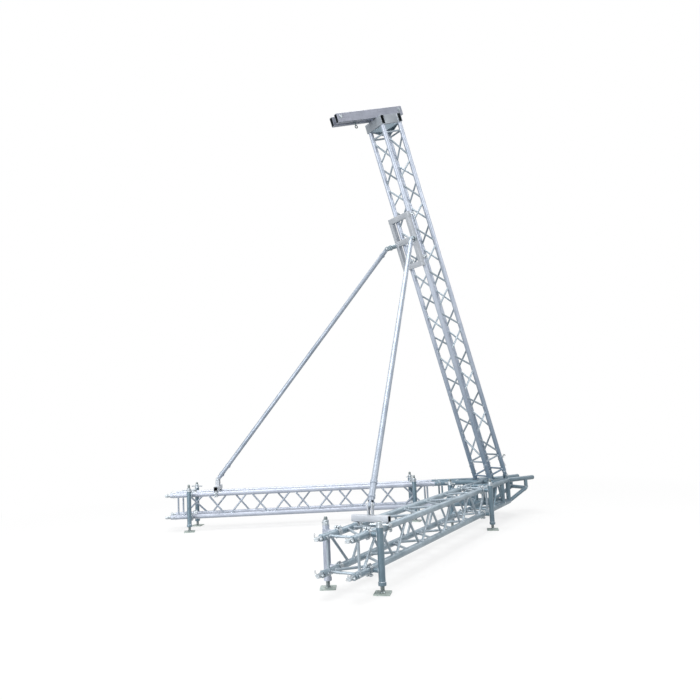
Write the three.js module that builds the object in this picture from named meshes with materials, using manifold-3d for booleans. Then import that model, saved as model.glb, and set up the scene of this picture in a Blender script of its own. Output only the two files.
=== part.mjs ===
// Line array truss tower: two truss legs in a V, a base block, a mast that leans over the V,
// two stays and a head of two long beams. Millimetres, +Z up, the mast leans towards -Y.
import * as THREE from "three";
import { mergeVertices } from "three/addons/utils/BufferGeometryUtils.js";
import Module from "manifold-3d";

const wasm = await Module();
wasm.setup();

// Box truss section, shared by the legs, the mast and the base block
const chord_diameter = 50;
const chord_wall = 3;
const chord_spacing = 240;
const brace_diameter = 20;
const brace_pitch = 244;
const brace_gap = 42;
const brace_start_inset = 122;
const end_frame_inset = 85;
const first_node_inset = 150;

// Facets: how many sides the round tubes, bars and pins are drawn with
const chord_sides = 8;
const brace_sides = 4;
const hex_sides = 6;
const lug_arc_sides = 4;

// Gaps between pieces
const touch = 0.3;
const cut_overrun = 5;

// Spigots that join two chord ends, and their cross pins
const spigot_diameter = 36;
const spigot_tip_diameter = 31;
const spigot_half_length = 62;
const receiver_depth = 72;
const cross_pin_diameter = 14;
const cross_pin_inset = 36;
const cross_pin_overhang = 9;

// Legs
const leg_length = 3000;
const leg_splay = THREE.MathUtils.degToRad(30);
const leg_centre_height = 274;

// Base block
const base_side_length = 729;
const side_post_inset = 235;
const nose_length = 410;
const nose_strut_inset = 122;
const nose_strut_drop = 110;
const nose_tube_diameter = 42;

// Screw jacks
const jack_outer_inset = 226;
const jack_inner_inset = 243;
const jack_offset = 95;
const jack_tube_diameter = 48;
const jack_tube_bottom = 80;
const jack_tube_top = 440;
const jack_bush_diameter = 57;
const jack_bush_length = 25;
const jack_arm_diameter = 34;
const screw_diameter = 30;
const screw_tip_heights = [484, 500, 512, 505, 505, 519, 514, 511];
const foot_plate_width = 114;
const foot_plate_thickness = 10;
const head_nut_diameter = 50;
const head_nut_length = 38;
const handle_bar_diameter = 12;
const handle_bar_reach = 73;
const foot_turns = [17, 27, 20, 38, -17, 8, 15, -20].map(THREE.MathUtils.degToRad);
const handle_turns = [90, 35, 20, 65, -25, 10, 50, 80].map(THREE.MathUtils.degToRad);

// Half couplers that grip a chord
const coupler_thickness = 6;
const coupler_length = 46;

// Mast
const mast_length = 4000;
const mast_lean = THREE.MathUtils.degToRad(17.4);
const hinge_height = 61;
const hinge_setback = 27;
const mast_foot_length = 165;
const tongue_length = 48;
const tongue_thickness = 20;
const tongue_width = 40;
const ear_thickness = 10;
const hinge_pin_diameter = 20;
const hinge_pin_head_diameter = 30;
const hinge_pin_head_length = 8;
const foot_pad_width = 64;
const foot_pad_thickness = 8;

// Head on top of the mast
const head_beam_height = 100;
const head_beam_width = 50;
const head_beam_wall = 5;
const head_half_width = 150;
const head_side_recess = 10;
const gusset_thickness = 10;
const gusset_drop = 68;
const long_beam_front = 642;
const long_beam_back = 250;
const long_beam_slot = 46;
const header_bolt_inset = 45;
const header_bolt_diameter = 16;
const header_bolt_head_diameter = 30;
const header_bolt_head_length = 11;
const header_spacer_diameter = 30;
const header_bolt_rise = 60;
const hoist_block_length = 180;
const hoist_block_height = 76;
const hoist_block_front = 472;
const eye_shank_diameter = 16;
const eye_shank_length = 58;
const eye_outer_diameter = 40;
const eye_hole_diameter = 20;
const eye_thickness = 16;
const eye_nut_diameter = 30;
const eye_nut_length = 14;

// Collar on the front of the mast
const collar_bottom = 2570;
const collar_mid_bar = 2886;
const collar_top = 3180;
const collar_rail_width = 50;
const collar_rail_reach = 150;
const collar_standoff = 4;
const collar_bar_height = 60;
const collar_bar_depth = 46;
const collar_bar_overhang = 4;
const collar_low_clamp_inset = 88;
const collar_high_clamp_inset = 33;
const stub_drop = 12;
const stub_base_reach = 165;
const stub_length = 96;
const stub_angle = THREE.MathUtils.degToRad(58);
const stub_bore_diameter = 38;
const stub_head_diameter = 62;
const stub_head_length = 22;

// Stays
const stay_diameter = 48;
const stay_bore_diameter = 40;
const stay_tongue_length = 34;
const stay_tongue_width = 44;
const stay_tongue_thickness = 16;
const stay_pin_diameter = 16;
const stay_pin_overhang = 8;
const stay_ring_diameter = 57;
const stay_ring_length = 30;
const stay_top_ring_inset = 105;
const stay_foot_ring_insets = [62, 186];
const fork_side_gap = 1;
const fork_plate_thickness = 12;
const fork_plate_width = 44;
const fork_reach = 36;

// Stay brackets on the legs
const bracket_inset = 514;
const bracket_beam_height = 50;
const bracket_beam_width = 50;
const bracket_beam_wall = 5;
const bracket_beam_overhang = 32;
const bracket_pin_rise = 126;

// Finishes
const finishes = {
  tube: { color: 0xb9c0cb, roughness: 0.38, metalness: 0.9 },
  beam: { color: 0xb4b2bd, roughness: 0.42, metalness: 0.85 },
  zinc: { color: 0xaab2ae, roughness: 0.5, metalness: 0.8 },
  steel: { color: 0x6f777b, roughness: 0.45, metalness: 0.9 },
};

// Places that follow from the sizes
const half_spacing = chord_spacing / 2;
const chord_radius = chord_diameter / 2;
const low_chord_height = leg_centre_height - half_spacing;
const high_chord_height = leg_centre_height + half_spacing;
const splay_along = new THREE.Vector2(Math.sin(leg_splay), -Math.cos(leg_splay));
const splay_across = new THREE.Vector2(Math.cos(leg_splay), Math.sin(leg_splay));
const leg_top_height = high_chord_height + chord_radius;
const coupler_reach = chord_radius + touch + coupler_thickness;
const long_beam_centre = long_beam_slot / 2 + head_beam_width / 2;
const mast_top = mast_foot_length + mast_length;

// Small helpers
const at = (x, y, z) => new THREE.Vector3(x, y, z);
const sides = ["right", "left"];
const signOf = (side) => (side === "right" ? 1 : -1);

function solidOf(geometry) {
  geometry.deleteAttribute("normal");
  geometry.deleteAttribute("uv");
  const merged = mergeVertices(geometry);
  const vertProperties = merged.attributes.position.array;
  const triVerts = new Uint32Array(merged.index.array);
  return new wasm.Manifold(new wasm.Mesh({ numProp: 3, vertProperties, triVerts }));
}

function join(solids) {
  return solids.reduce((whole, solid) => whole.add(solid));
}

function cut(solid, tools) {
  return tools.reduce((rest, tool) => rest.subtract(tool), solid);
}

// The axis that lies most squarely across a direction: flats of round bars face it.
function squareAxis(along) {
  const axes = [at(0, 1, 0), at(1, 0, 0), at(0, 0, 1)];
  return axes.reduce((best, axis) =>
    Math.abs(axis.dot(along)) < Math.abs(best.dot(along)) ? axis : best,
  );
}

// Turns a shape that stands along y so that it runs along a direction.
function lay(shape, along, origin) {
  const up = along.clone().normalize();
  const right = up.clone().cross(squareAxis(up)).normalize();
  const turn = new THREE.Matrix4().makeBasis(right, up, right.clone().cross(up));
  return shape.applyMatrix4(turn.setPosition(origin));
}

// A round bar between two points. Its flats lie on the true diameter.
function bar(from, to, diameter, count = chord_sides) {
  const along = to.clone().sub(from);
  const radius = diameter / 2 / Math.cos(Math.PI / count);
  const shape = new THREE.CylinderGeometry(radius, radius, along.length(), count);
  shape.rotateY(Math.PI / count);
  return solidOf(lay(shape, along, from.clone().lerp(to, 1 / 2)));
}

// A round bar on the z axis.
function uprightBar(bottom, top, diameter) {
  return bar(at(0, 0, bottom), at(0, 0, top), diameter);
}

function block(size, centre) {
  const shape = new THREE.BoxGeometry(size.x, size.y, size.z);
  shape.translate(centre.x, centre.y, centre.z);
  return solidOf(shape);
}

// A flat plate from an outline: its own x and y run along the two directions given.
function plate(outline, thickness, origin, right, up, segments = lug_arc_sides) {
  const shape = new THREE.ExtrudeGeometry(outline, {
    depth: thickness,
    bevelEnabled: false,
    curveSegments: segments,
  });
  shape.translate(0, 0, -thickness / 2);
  const out = right.clone().cross(up);
  shape.applyMatrix4(new THREE.Matrix4().makeBasis(right, up, out).setPosition(origin));
  return solidOf(shape);
}

// A lug with a round end: it starts below the pin by drop and ends past it by half its width.
function lugOutline(width, drop) {
  const outline = new THREE.Shape();
  outline.moveTo(-width / 2, -drop);
  outline.lineTo(width / 2, -drop);
  outline.lineTo(width / 2, 0);
  outline.absarc(0, 0, width / 2, 0, Math.PI, false);
  return outline;
}

// A bore in which a bar of this diameter can turn although both are faceted.
function turningBore(diameter, count = chord_sides) {
  return diameter / Math.cos(Math.PI / count) + 2 * touch;
}

function fitBore(diameter) {
  return diameter + 2 * touch;
}

function node(name, solid, finish, parent) {
  const mesh = solid.getMesh();
  const geometry = new THREE.BufferGeometry();
  geometry.setAttribute("position", new THREE.BufferAttribute(mesh.vertProperties, 3));
  geometry.setIndex(new THREE.BufferAttribute(mesh.triVerts, 1));
  const piece = new THREE.Mesh(geometry, new THREE.MeshStandardMaterial(finishes[finish]));
  piece.name = name;
  parent.add(piece);
}

// Box truss: x runs along it, and its four chords stand round the x axis in turn
const corners = [
  [-half_spacing, -half_spacing],
  [-half_spacing, half_spacing],
  [half_spacing, half_spacing],
  [half_spacing, -half_spacing],
];

function cornerPoint(index, x) {
  const [y, z] = corners[index % corners.length];
  return at(x, y, z);
}

function endFrame(x) {
  return corners.map((_, i) =>
    bar(cornerPoint(i, x), cornerPoint(i + 1, x), brace_diameter, brace_sides),
  );
}

// One face's zigzag: each brace runs from one chord to its neighbour and the next one back.
// The first and the last brace land a little nearer the end frames than the even steps do.
function zigzag(face, length) {
  const span = length - 2 * first_node_inset;
  const count = Math.max(1, Math.round(span / brace_pitch));
  const pitch = span / count;
  return Array.from({ length: count }, (_, i) => {
    const [near, far] = i % 2 === 0 ? [face, face + 1] : [face + 1, face];
    const step = first_node_inset + i * pitch;
    const from = i === 0 ? brace_start_inset : step + brace_gap / 2;
    const to = i === count - 1 ? length - brace_start_inset : step + pitch - brace_gap / 2;
    return bar(cornerPoint(near, from), cornerPoint(far, to), brace_diameter, brace_sides);
  });
}

// The hollow of a chord: narrow in the receivers at its ends, full width between them.
function chordHollows(index, length) {
  const along = (from, to, diameter) => bar(cornerPoint(index, from), cornerPoint(index, to), diameter);
  return [
    along(-cut_overrun, length + cut_overrun, fitBore(spigot_diameter)),
    along(receiver_depth, length - receiver_depth, chord_diameter - 2 * chord_wall),
  ];
}

function pinThrough(index, x, diameter, reach) {
  const centre = cornerPoint(index, x);
  const offset = at(0, reach, 0);
  return bar(centre.clone().sub(offset), centre.clone().add(offset), diameter, brace_sides);
}

function pinHoles(x) {
  const reach = chord_radius + cut_overrun;
  return corners.map((_, i) => pinThrough(i, x, fitBore(cross_pin_diameter), reach));
}

function boxTruss(length, holePlaces) {
  const chords = corners.map((_, i) => bar(cornerPoint(i, 0), cornerPoint(i, length), chord_diameter));
  const frames = [end_frame_inset, length - end_frame_inset].flatMap(endFrame);
  const braces = corners.flatMap((_, i) => zigzag(i, length));
  const hollows = corners.flatMap((_, i) => chordHollows(i, length));
  const holes = holePlaces.flatMap(pinHoles);
  return cut(join([...chords, ...frames, ...braces]), [...hollows, ...holes]);
}

// A spigot: thick in the middle, tapered to both tips, with a cross pin through each half.
function spigotBody(centre) {
  const half = spigot_diameter / 2;
  const tip = spigot_tip_diameter / 2;
  const profile = [
    [0, -spigot_half_length],
    [tip, -spigot_half_length],
    [half, 0],
    [tip, spigot_half_length],
    [0, spigot_half_length],
  ];
  const widened = 1 / Math.cos(Math.PI / chord_sides);
  const shape = new THREE.LatheGeometry(
    profile.map(([r, h]) => new THREE.Vector2(r * widened, h)),
    chord_sides,
  );
  shape.rotateY(Math.PI / chord_sides);
  return solidOf(lay(shape, at(1, 0, 0), centre));
}

function spigot(index, x) {
  const centre = cornerPoint(index, x);
  const pins = [-cross_pin_inset, cross_pin_inset].map((inset) =>
    pinThrough(index, x + inset, cross_pin_diameter, chord_radius + cross_pin_overhang),
  );
  return join([spigotBody(centre), ...pins]);
}

// Legs with their jacks and stay brackets. The spigots in a leg's free end stay with it.
function legTruss() {
  const spigots = corners.map((_, i) => spigot(i, leg_length));
  return join([boxTruss(leg_length, [cross_pin_inset]), ...spigots]);
}

// Half coupler round a chord that runs along x, bored for the chord.
function couplerShell(centre) {
  const offset = at(coupler_length / 2, 0, 0);
  return bar(centre.clone().sub(offset), centre.clone().add(offset), 2 * coupler_reach);
}

function couplerBore(centre) {
  const offset = at(coupler_length, 0, 0);
  return bar(centre.clone().sub(offset), centre.clone().add(offset), fitBore(chord_diameter));
}

// A jack stands at its own origin, and its chords run along x at the side it is turned to.
function jackTube() {
  const chords = [low_chord_height, high_chord_height].map((z) => at(0, -jack_offset, z));
  const bushBottom = jack_tube_bottom - jack_bush_length;
  const tube = uprightBar(jack_tube_bottom, jack_tube_top, jack_tube_diameter);
  const bush = uprightBar(bushBottom, jack_tube_bottom, jack_bush_diameter);
  const arms = chords.map((c) => bar(at(0, 0, c.z), at(0, c.y, c.z), jack_arm_diameter, hex_sides));
  const screwWay = uprightBar(
    bushBottom - cut_overrun,
    jack_tube_top + cut_overrun,
    fitBore(screw_diameter),
  );
  const shells = chords.map((c) => couplerShell(c));
  return cut(join([tube, bush, ...arms, ...shells]), [screwWay, ...chords.map(couplerBore)]);
}

function jackScrew(turn, tipHeight) {
  const plateShape = block(
    at(foot_plate_width, foot_plate_width, foot_plate_thickness),
    at(0, 0, foot_plate_thickness / 2),
  );
  const spindle = uprightBar(foot_plate_thickness / 2, tipHeight, screw_diameter);
  return join([plateShape.rotate([0, 0, THREE.MathUtils.radToDeg(turn)]), spindle]);
}

function jackHead(turn) {
  const bottom = jack_tube_top + touch;
  const middle = bottom + head_nut_length / 2;
  const top = bottom + head_nut_length;
  const nut = uprightBar(bottom, top, head_nut_diameter);
  const direction = at(Math.cos(turn), Math.sin(turn), 0).multiplyScalar(handle_bar_reach);
  const handle = bar(
    at(-direction.x, -direction.y, middle),
    at(direction.x, direction.y, middle),
    handle_bar_diameter,
    hex_sides,
  );
  const bore = uprightBar(bottom - cut_overrun, top + cut_overrun, turningBore(screw_diameter));
  return cut(join([nut, handle]), [bore]);
}

const jack_places = [
  ["front_outside", leg_length - jack_outer_inset, 1],
  ["front_inside", leg_length - jack_outer_inset, -1],
  ["rear_outside", jack_inner_inset, 1],
  ["rear_inside", jack_inner_inset, -1],
];

function addJack(leg, name, index, x, face) {
  const group = new THREE.Group();
  group.position.set(x, face * (half_spacing + jack_offset), -leg_centre_height);
  group.rotation.z = face > 0 ? 0 : Math.PI;
  leg.add(group);
  node(name + "_tube", jackTube(), "tube", group);
  node(name + "_screw", jackScrew(foot_turns[index], screw_tip_heights[index]), "zinc", group);
  node(name + "_head", jackHead(handle_turns[index]), "zinc", group);
}

// Base block: a welded frame that carries both legs, the mast and the nose
function planPoint(origin, distance, side, z) {
  const point = origin.clone().addScaledVector(splay_along, distance);
  return at(side * point.x, point.y, z);
}

const rear_corner = new THREE.Vector2(half_spacing, 0);
const inner_line = rear_corner.clone().addScaledVector(splay_across, -chord_spacing);
const inner_start = -inner_line.x / splay_along.x;
const apex_y = inner_line.y + inner_start * splay_along.y;

const outerAt = (distance, side, z) => planPoint(rear_corner, distance, side, z);
const innerAt = (distance, side, z) => planPoint(inner_line, distance, side, z);

function upright(foot, diameter, count = hex_sides) {
  const ends = [low_chord_height, high_chord_height].map((z) => at(foot.x, foot.y, z));
  return bar(...ends, diameter, count);
}

function baseSide(side) {
  const levels = [low_chord_height, high_chord_height];
  const tubes = levels.flatMap((z) => [
    bar(outerAt(0, side, z), outerAt(base_side_length, side, z), chord_diameter),
    bar(innerAt(inner_start, side, z), innerAt(base_side_length, side, z), chord_diameter),
  ]);
  const frame = base_side_length - end_frame_inset;
  const thin = [outerAt(frame, side, 0), innerAt(frame, side, 0)].map((p) =>
    upright(p, brace_diameter, brace_sides),
  );
  const rungs = levels.map((z) =>
    bar(outerAt(frame, side, z), innerAt(frame, side, z), brace_diameter, brace_sides),
  );
  const posts = [outerAt(side_post_inset, side, 0), outerAt(0, side, 0)].map((p) =>
    upright(p, chord_diameter),
  );
  return [...tubes, ...thin, ...rungs, ...posts, ...sideBraces(side)];
}

function sideBraces(side) {
  const first = base_side_length - first_node_inset;
  const second = (first + side_post_inset) / 2;
  const brace = (a, za, b, zb) => bar(a(za), b(zb), brace_diameter, brace_sides);
  const outer = (distance) => (z) => outerAt(distance, side, z);
  const inner = (distance) => (z) => innerAt(distance, side, z);
  const innerEnd = inner_start + brace_gap;
  return [
    brace(outer(first), low_chord_height, outer(second + brace_gap / 2), high_chord_height),
    brace(outer(second - brace_gap / 2), high_chord_height, outer(side_post_inset), low_chord_height),
    brace(inner(first), low_chord_height, inner(innerEnd), high_chord_height),
    brace(outer(second), high_chord_height, inner(first), high_chord_height),
    brace(outer(second), low_chord_height, inner(first), low_chord_height),
  ];
}

// The box under the mast: posts at the V's apex, cross tubes and the two top rails.
function baseMiddle() {
  const levels = [low_chord_height, high_chord_height];
  const crossReach = half_spacing + (apex_y / splay_along.y) * splay_along.x;
  const across = levels.flatMap((z) => [
    bar(at(-half_spacing, 0, z), at(half_spacing, 0, z), chord_diameter),
    bar(at(-crossReach, apex_y, z), at(crossReach, apex_y, z), chord_diameter),
  ]);
  const railsLow = [1, -1].map((s) =>
    bar(
      at(s * half_spacing, apex_y, low_chord_height),
      at(s * half_spacing, 0, low_chord_height),
      nose_tube_diameter,
      hex_sides,
    ),
  );
  const posts = [1, 0, -1].map((s) => upright(at(s * half_spacing, apex_y, 0), nose_tube_diameter));
  return [...across, ...railsLow, ...posts];
}

function nose() {
  const strutY = nose_length - nose_strut_inset;
  const strutFoot = high_chord_height - nose_strut_drop;
  const halves = [1, -1].flatMap((s) => {
    const x = s * half_spacing;
    return [
      bar(at(x, apex_y, high_chord_height), at(x, nose_length, high_chord_height), chord_diameter),
      bar(at(x, strutY, high_chord_height), at(x, strutY, strutFoot), nose_tube_diameter, hex_sides),
      bar(at(x, strutY, strutFoot), at(x, 0, low_chord_height), nose_tube_diameter, hex_sides),
    ];
  });
  const tieEnds = [-half_spacing, half_spacing].map((x) => at(x, strutY, strutFoot));
  const tie = bar(...tieEnds, nose_tube_diameter, hex_sides);
  return [...halves, tie];
}

// Ears for the hinge pin at the rear feet of the mast
const hinge_z = high_chord_height + hinge_height;
const hinge_y = -hinge_setback;

function earPair(x) {
  const centre = tongue_thickness / 2 + touch + ear_thickness / 2;
  return [-centre, centre].map((offset) =>
    plate(
      lugOutline(tongue_width, hinge_height),
      ear_thickness,
      at(x + offset, hinge_y, hinge_z),
      at(0, 1, 0),
      at(0, 0, 1),
    ),
  );
}

function hingeBore(x) {
  const reach = at(tongue_thickness / 2 + touch + ear_thickness + cut_overrun, 0, 0);
  const centre = at(x, hinge_y, hinge_z);
  return bar(centre.clone().sub(reach), centre.clone().add(reach), fitBore(hinge_pin_diameter));
}

// The receivers for the leg spigots, cut from the four tube ends of one side.
function legSockets(side) {
  const ends = [outerAt, innerAt].flatMap((line) =>
    [low_chord_height, high_chord_height].map((z) => ({ line, z })),
  );
  return ends.flatMap(({ line, z }) => {
    const mouth = line(base_side_length + cut_overrun, side, z);
    const floor = line(base_side_length - receiver_depth, side, z);
    const pin = line(base_side_length - cross_pin_inset, side, z);
    const across = at(side * splay_across.x, splay_across.y, 0);
    across.multiplyScalar(chord_radius + cut_overrun);
    const hole = [pin.clone().sub(across), pin.clone().add(across)];
    return [
      bar(floor, mouth, fitBore(spigot_diameter)),
      bar(...hole, fitBore(cross_pin_diameter), brace_sides),
    ];
  });
}

function baseBlock() {
  const ears = [1, -1].flatMap((s) => earPair(s * half_spacing));
  const whole = join([...baseSide(1), ...baseSide(-1), ...baseMiddle(), ...nose(), ...ears]);
  const bores = [1, -1].map((s) => hingeBore(s * half_spacing));
  return cut(whole, [...bores, ...legSockets(1), ...legSockets(-1)]);
}

function hingePin() {
  const reach = tongue_thickness / 2 + touch + ear_thickness + touch;
  const shank = bar(at(-reach, 0, 0), at(reach, 0, 0), hinge_pin_diameter);
  const heads = [1, -1].map((s) =>
    bar(at(s * reach, 0, 0), at(s * (reach + hinge_pin_head_length), 0, 0), hinge_pin_head_diameter),
  );
  return join([shank, ...heads]);
}

// Mast: x stays across, y runs from its front to its rear face and z runs up along it.
// Its own origin is the hinge line, on the axes of the two rear chords.
const mastChords = [
  [half_spacing, -chord_spacing],
  [half_spacing, 0],
  [-half_spacing, 0],
  [-half_spacing, -chord_spacing],
];
const lean_cos = Math.cos(mast_lean);
const lean_tan = Math.tan(mast_lean);

function mastFoot() {
  const frontFloor = (hinge_height - chord_radius - touch) / lean_cos - chord_spacing * lean_tan;
  const padTop = -frontFloor + foot_pad_thickness / lean_cos;
  const chords = mastChords.map(([x, y]) => {
    const bottom = y < 0 ? padTop - foot_pad_thickness / 2 : tongue_length;
    return bar(at(x, y, bottom), at(x, y, mast_foot_length - touch), chord_diameter);
  });
  const ring = mastChords.map(([x, y], i) => {
    const [nextX, nextY] = mastChords[(i + 1) % mastChords.length];
    const height = mast_foot_length - end_frame_inset;
    return bar(at(x, y, height), at(nextX, nextY, height), brace_diameter, brace_sides);
  });
  const tongueOutline = lugOutline(tongue_width, tongue_length + cut_overrun);
  const tongues = mastChords
    .filter(([, y]) => y === 0)
    .map(([x, y]) => plate(tongueOutline, tongue_thickness, at(x, y, 0), at(0, -1, 0), at(0, 0, -1)));
  const sockets = mastChords.flatMap(([x, y]) => mastSocket(x, y));
  const hinge = bar(at(-chord_spacing, 0, 0), at(chord_spacing, 0, 0), turningBore(hinge_pin_diameter));
  return cut(join([...chords, ...ring, ...tongues]), [...sockets, hinge]).add(footPads(padTop));
}

// Flat pads under the two front chords, level with the floor when the mast stands.
function footPads(padTop) {
  const size = at(foot_pad_width, foot_pad_width, foot_pad_thickness);
  const pads = mastChords
    .filter(([, y]) => y < 0)
    .map(([x, y]) => {
      const pad = block(size, at(0, 0, -foot_pad_thickness / 2));
      return pad.rotate([-THREE.MathUtils.radToDeg(mast_lean), 0, 0]).translate([x, y, padTop]);
    });
  return join(pads);
}

function mastSocket(x, y) {
  const across = chord_radius + cut_overrun;
  const floor = at(x, y, mast_foot_length - receiver_depth);
  const mouth = at(x, y, mast_foot_length + cut_overrun);
  const pinHeight = mast_foot_length - cross_pin_inset;
  const hole = [at(x, y - across, pinHeight), at(x, y + across, pinHeight)];
  return [
    bar(floor, mouth, fitBore(spigot_diameter)),
    bar(...hole, fitBore(cross_pin_diameter), brace_sides),
  ];
}

// Head: a welded frame on the chord tops that carries the two long beams
function hollowBeam(size, centre, wall, alongY) {
  const inner = alongY
    ? at(size.x - 2 * wall, size.y + cut_overrun, size.z - 2 * wall)
    : at(size.x + cut_overrun, size.y - 2 * wall, size.z - 2 * wall);
  return block(size, centre).subtract(block(inner, centre));
}

const head_bottom = mast_top + touch;
const head_centre = head_bottom + head_beam_height / 2;
const long_beam_z = head_bottom + head_beam_height + touch + head_beam_height / 2;

function headFrame() {
  const crossSize = at(2 * head_half_width, head_beam_width, head_beam_height);
  const cross = [0, -chord_spacing].map((y) =>
    hollowBeam(crossSize, at(0, y, head_centre), head_beam_wall, false),
  );
  const sideLength = chord_spacing - head_beam_width + head_beam_wall;
  const sideSize = at(head_beam_width, sideLength, head_beam_height);
  const sideX = head_half_width - head_side_recess - head_beam_width / 2;
  const members = [1, -1].map((s) => block(sideSize, at(s * sideX, -half_spacing, head_centre)));
  return join([...cross, ...members, ...gussets()]);
}

// Four triangular gussets, one under each member, each with its deep end on one chord.
function gussets() {
  const span = chord_spacing - chord_diameter;
  const outline = new THREE.Shape();
  outline.moveTo(0, 0);
  outline.lineTo(0, -gusset_drop);
  outline.lineTo(span, 0);
  outline.lineTo(span, cut_overrun);
  outline.lineTo(0, cut_overrun);
  const inset = chord_radius + touch;
  const places = [
    [at(half_spacing - inset, -chord_spacing, head_bottom), at(-1, 0, 0)],
    [at(half_spacing, -chord_spacing + inset, head_bottom), at(0, 1, 0)],
    [at(-half_spacing + inset, 0, head_bottom), at(1, 0, 0)],
    [at(-half_spacing, -inset, head_bottom), at(0, -1, 0)],
  ];
  return places.map(([origin, right]) => plate(outline, gusset_thickness, origin, right, at(0, 0, 1)));
}

const bolt_z = long_beam_z - head_beam_height / 2 + header_bolt_rise;
const bolt_ys = {
  front: -half_spacing - long_beam_front + header_bolt_inset,
  rear: -half_spacing + long_beam_back - header_bolt_inset,
};

function longBeam(side) {
  const length = long_beam_front + long_beam_back;
  const centreY = -half_spacing + (long_beam_back - long_beam_front) / 2;
  const beam = hollowBeam(
    at(head_beam_width, length, head_beam_height),
    at(side * long_beam_centre, centreY, long_beam_z),
    head_beam_wall,
    true,
  );
  const holes = Object.values(bolt_ys).map((y) =>
    bar(at(-chord_spacing, y, bolt_z), at(chord_spacing, y, bolt_z), fitBore(header_bolt_diameter)),
  );
  return cut(beam, holes);
}

function headerBolt(y) {
  const outside = long_beam_centre + head_beam_width / 2 + touch;
  const shank = bar(at(-outside, y, bolt_z), at(outside, y, bolt_z), header_bolt_diameter);
  const heads = [1, -1].map((s) =>
    bar(
      at(s * outside, y, bolt_z),
      at(s * (outside + header_bolt_head_length), y, bolt_z),
      header_bolt_head_diameter,
      hex_sides,
    ),
  );
  const spacerReach = long_beam_slot / 2 - touch;
  const spacer = bar(at(-spacerReach, y, bolt_z), at(spacerReach, y, bolt_z), header_spacer_diameter);
  return join([shank, spacer, ...heads]);
}

const hoist_y = -half_spacing - hoist_block_front + hoist_block_length / 2;
const hoist_bottom = long_beam_z - hoist_block_height / 2;

const hoist_top = hoist_bottom + hoist_block_height;
const onHoistAxis = (z) => at(0, hoist_y, z);

function hoistBlock() {
  const size = at(long_beam_slot - 2 * touch, hoist_block_length, hoist_block_height);
  const bore = bar(
    onHoistAxis(hoist_bottom - cut_overrun),
    onHoistAxis(hoist_top + cut_overrun),
    turningBore(eye_shank_diameter),
  );
  return block(size, onHoistAxis(long_beam_z)).subtract(bore);
}

// The eye bolt hangs in the block by its nut and can turn there.
function eyeBolt() {
  const outline = new THREE.Shape();
  outline.absarc(0, 0, eye_outer_diameter / 2, 0, 2 * Math.PI, false);
  const hole = new THREE.Path();
  hole.absarc(0, 0, eye_hole_diameter / 2, 0, 2 * Math.PI, true);
  outline.holes.push(hole);
  const eyeZ = hoist_bottom - eye_shank_length;
  const ring = plate(outline, eye_thickness, onHoistAxis(eyeZ), at(0, 1, 0), at(0, 0, 1), chord_sides);
  const ringMiddle = (eye_outer_diameter + eye_hole_diameter) / 4;
  const nutBottom = hoist_top + touch;
  const shank = bar(onHoistAxis(eyeZ + ringMiddle), onHoistAxis(nutBottom), eye_shank_diameter);
  const nut = bar(
    onHoistAxis(nutBottom),
    onHoistAxis(nutBottom + eye_nut_length),
    eye_nut_diameter,
    hex_sides,
  );
  return join([ring, shank, nut]);
}

// Collar: a ladder of two rails and three bars, held to the front chords by half couplers
const rail_y = -chord_spacing - coupler_reach - collar_standoff - collar_rail_width / 2;
const stub_direction = at(Math.cos(stub_angle), -Math.sin(stub_angle), 0);

function stubFrame(side) {
  const direction = at(side * stub_direction.x, stub_direction.y, 0);
  const start = at(side * stub_base_reach, rail_y, collar_mid_bar - stub_drop);
  const mouth = start.clone().addScaledVector(direction, stub_length);
  return { direction, start, mouth, pin: mouth.clone().addScaledVector(direction, fork_reach) };
}

// From the mast's own frame to the tower's, without any object.
function mastToTower(point) {
  return point.clone().applyAxisAngle(at(1, 0, 0), mast_lean).add(at(0, hinge_y, hinge_z));
}

function towerToMast(direction) {
  return direction.clone().applyAxisAngle(at(1, 0, 0), -mast_lean);
}

// The top bar lies on the rail ends, and the other two stand between the rails.
function collarLadder() {
  const railHeight = collar_top - collar_bar_height - collar_bottom;
  const rails = [1, -1].map((s) =>
    block(
      at(collar_rail_width, collar_rail_width, railHeight),
      at(s * collar_rail_reach, rail_y, collar_bottom + railHeight / 2),
    ),
  );
  const outside = collar_rail_reach + collar_rail_width / 2 + collar_bar_overhang;
  const bars = [
    [outside, collar_top - collar_bar_height / 2],
    [collar_rail_reach, collar_mid_bar],
    [collar_rail_reach, collar_bottom + collar_bar_height / 2],
  ].map(([reach, z]) =>
    block(at(2 * reach, collar_bar_depth, collar_bar_height), at(0, rail_y, z)),
  );
  return [...rails, ...bars];
}

function collarCouplers() {
  const heights = [collar_bottom + collar_low_clamp_inset, collar_top - collar_high_clamp_inset];
  const places = heights.flatMap((z) => [1, -1].map((s) => at(s * half_spacing, -chord_spacing, z)));
  const round = (p, reach, diameter) => bar(at(p.x, p.y, p.z - reach), at(p.x, p.y, p.z + reach), diameter);
  const shells = places.map((p) => round(p, coupler_length / 2, 2 * coupler_reach));
  const depth = -chord_spacing - rail_y;
  const necks = places.map((p) =>
    block(at(chord_diameter, depth, coupler_length), at(p.x, p.y - depth / 2, p.z)),
  );
  const bores = places.map((p) => round(p, coupler_length, fitBore(chord_diameter)));
  return { solids: [...shells, ...necks], bores };
}

// Two fork plates with a round end each, on both sides of a stay's tongue.
function forkPlates(pin, plane, down, drop) {
  const offset = stay_tongue_thickness / 2 + fork_side_gap + fork_plate_thickness / 2;
  const right = down.clone().cross(plane).normalize();
  return [-offset, offset].map((o) =>
    plate(
      lugOutline(fork_plate_width, drop),
      fork_plate_thickness,
      pin.clone().addScaledVector(plane, o),
      right,
      down.clone().negate(),
    ),
  );
}

function pinBetween(pin, plane, reach, diameter) {
  const end = plane.clone().multiplyScalar(reach);
  return bar(pin.clone().sub(end), pin.clone().add(end), diameter);
}

const fork_outside = stay_tongue_thickness / 2 + fork_side_gap + fork_plate_thickness;

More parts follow.
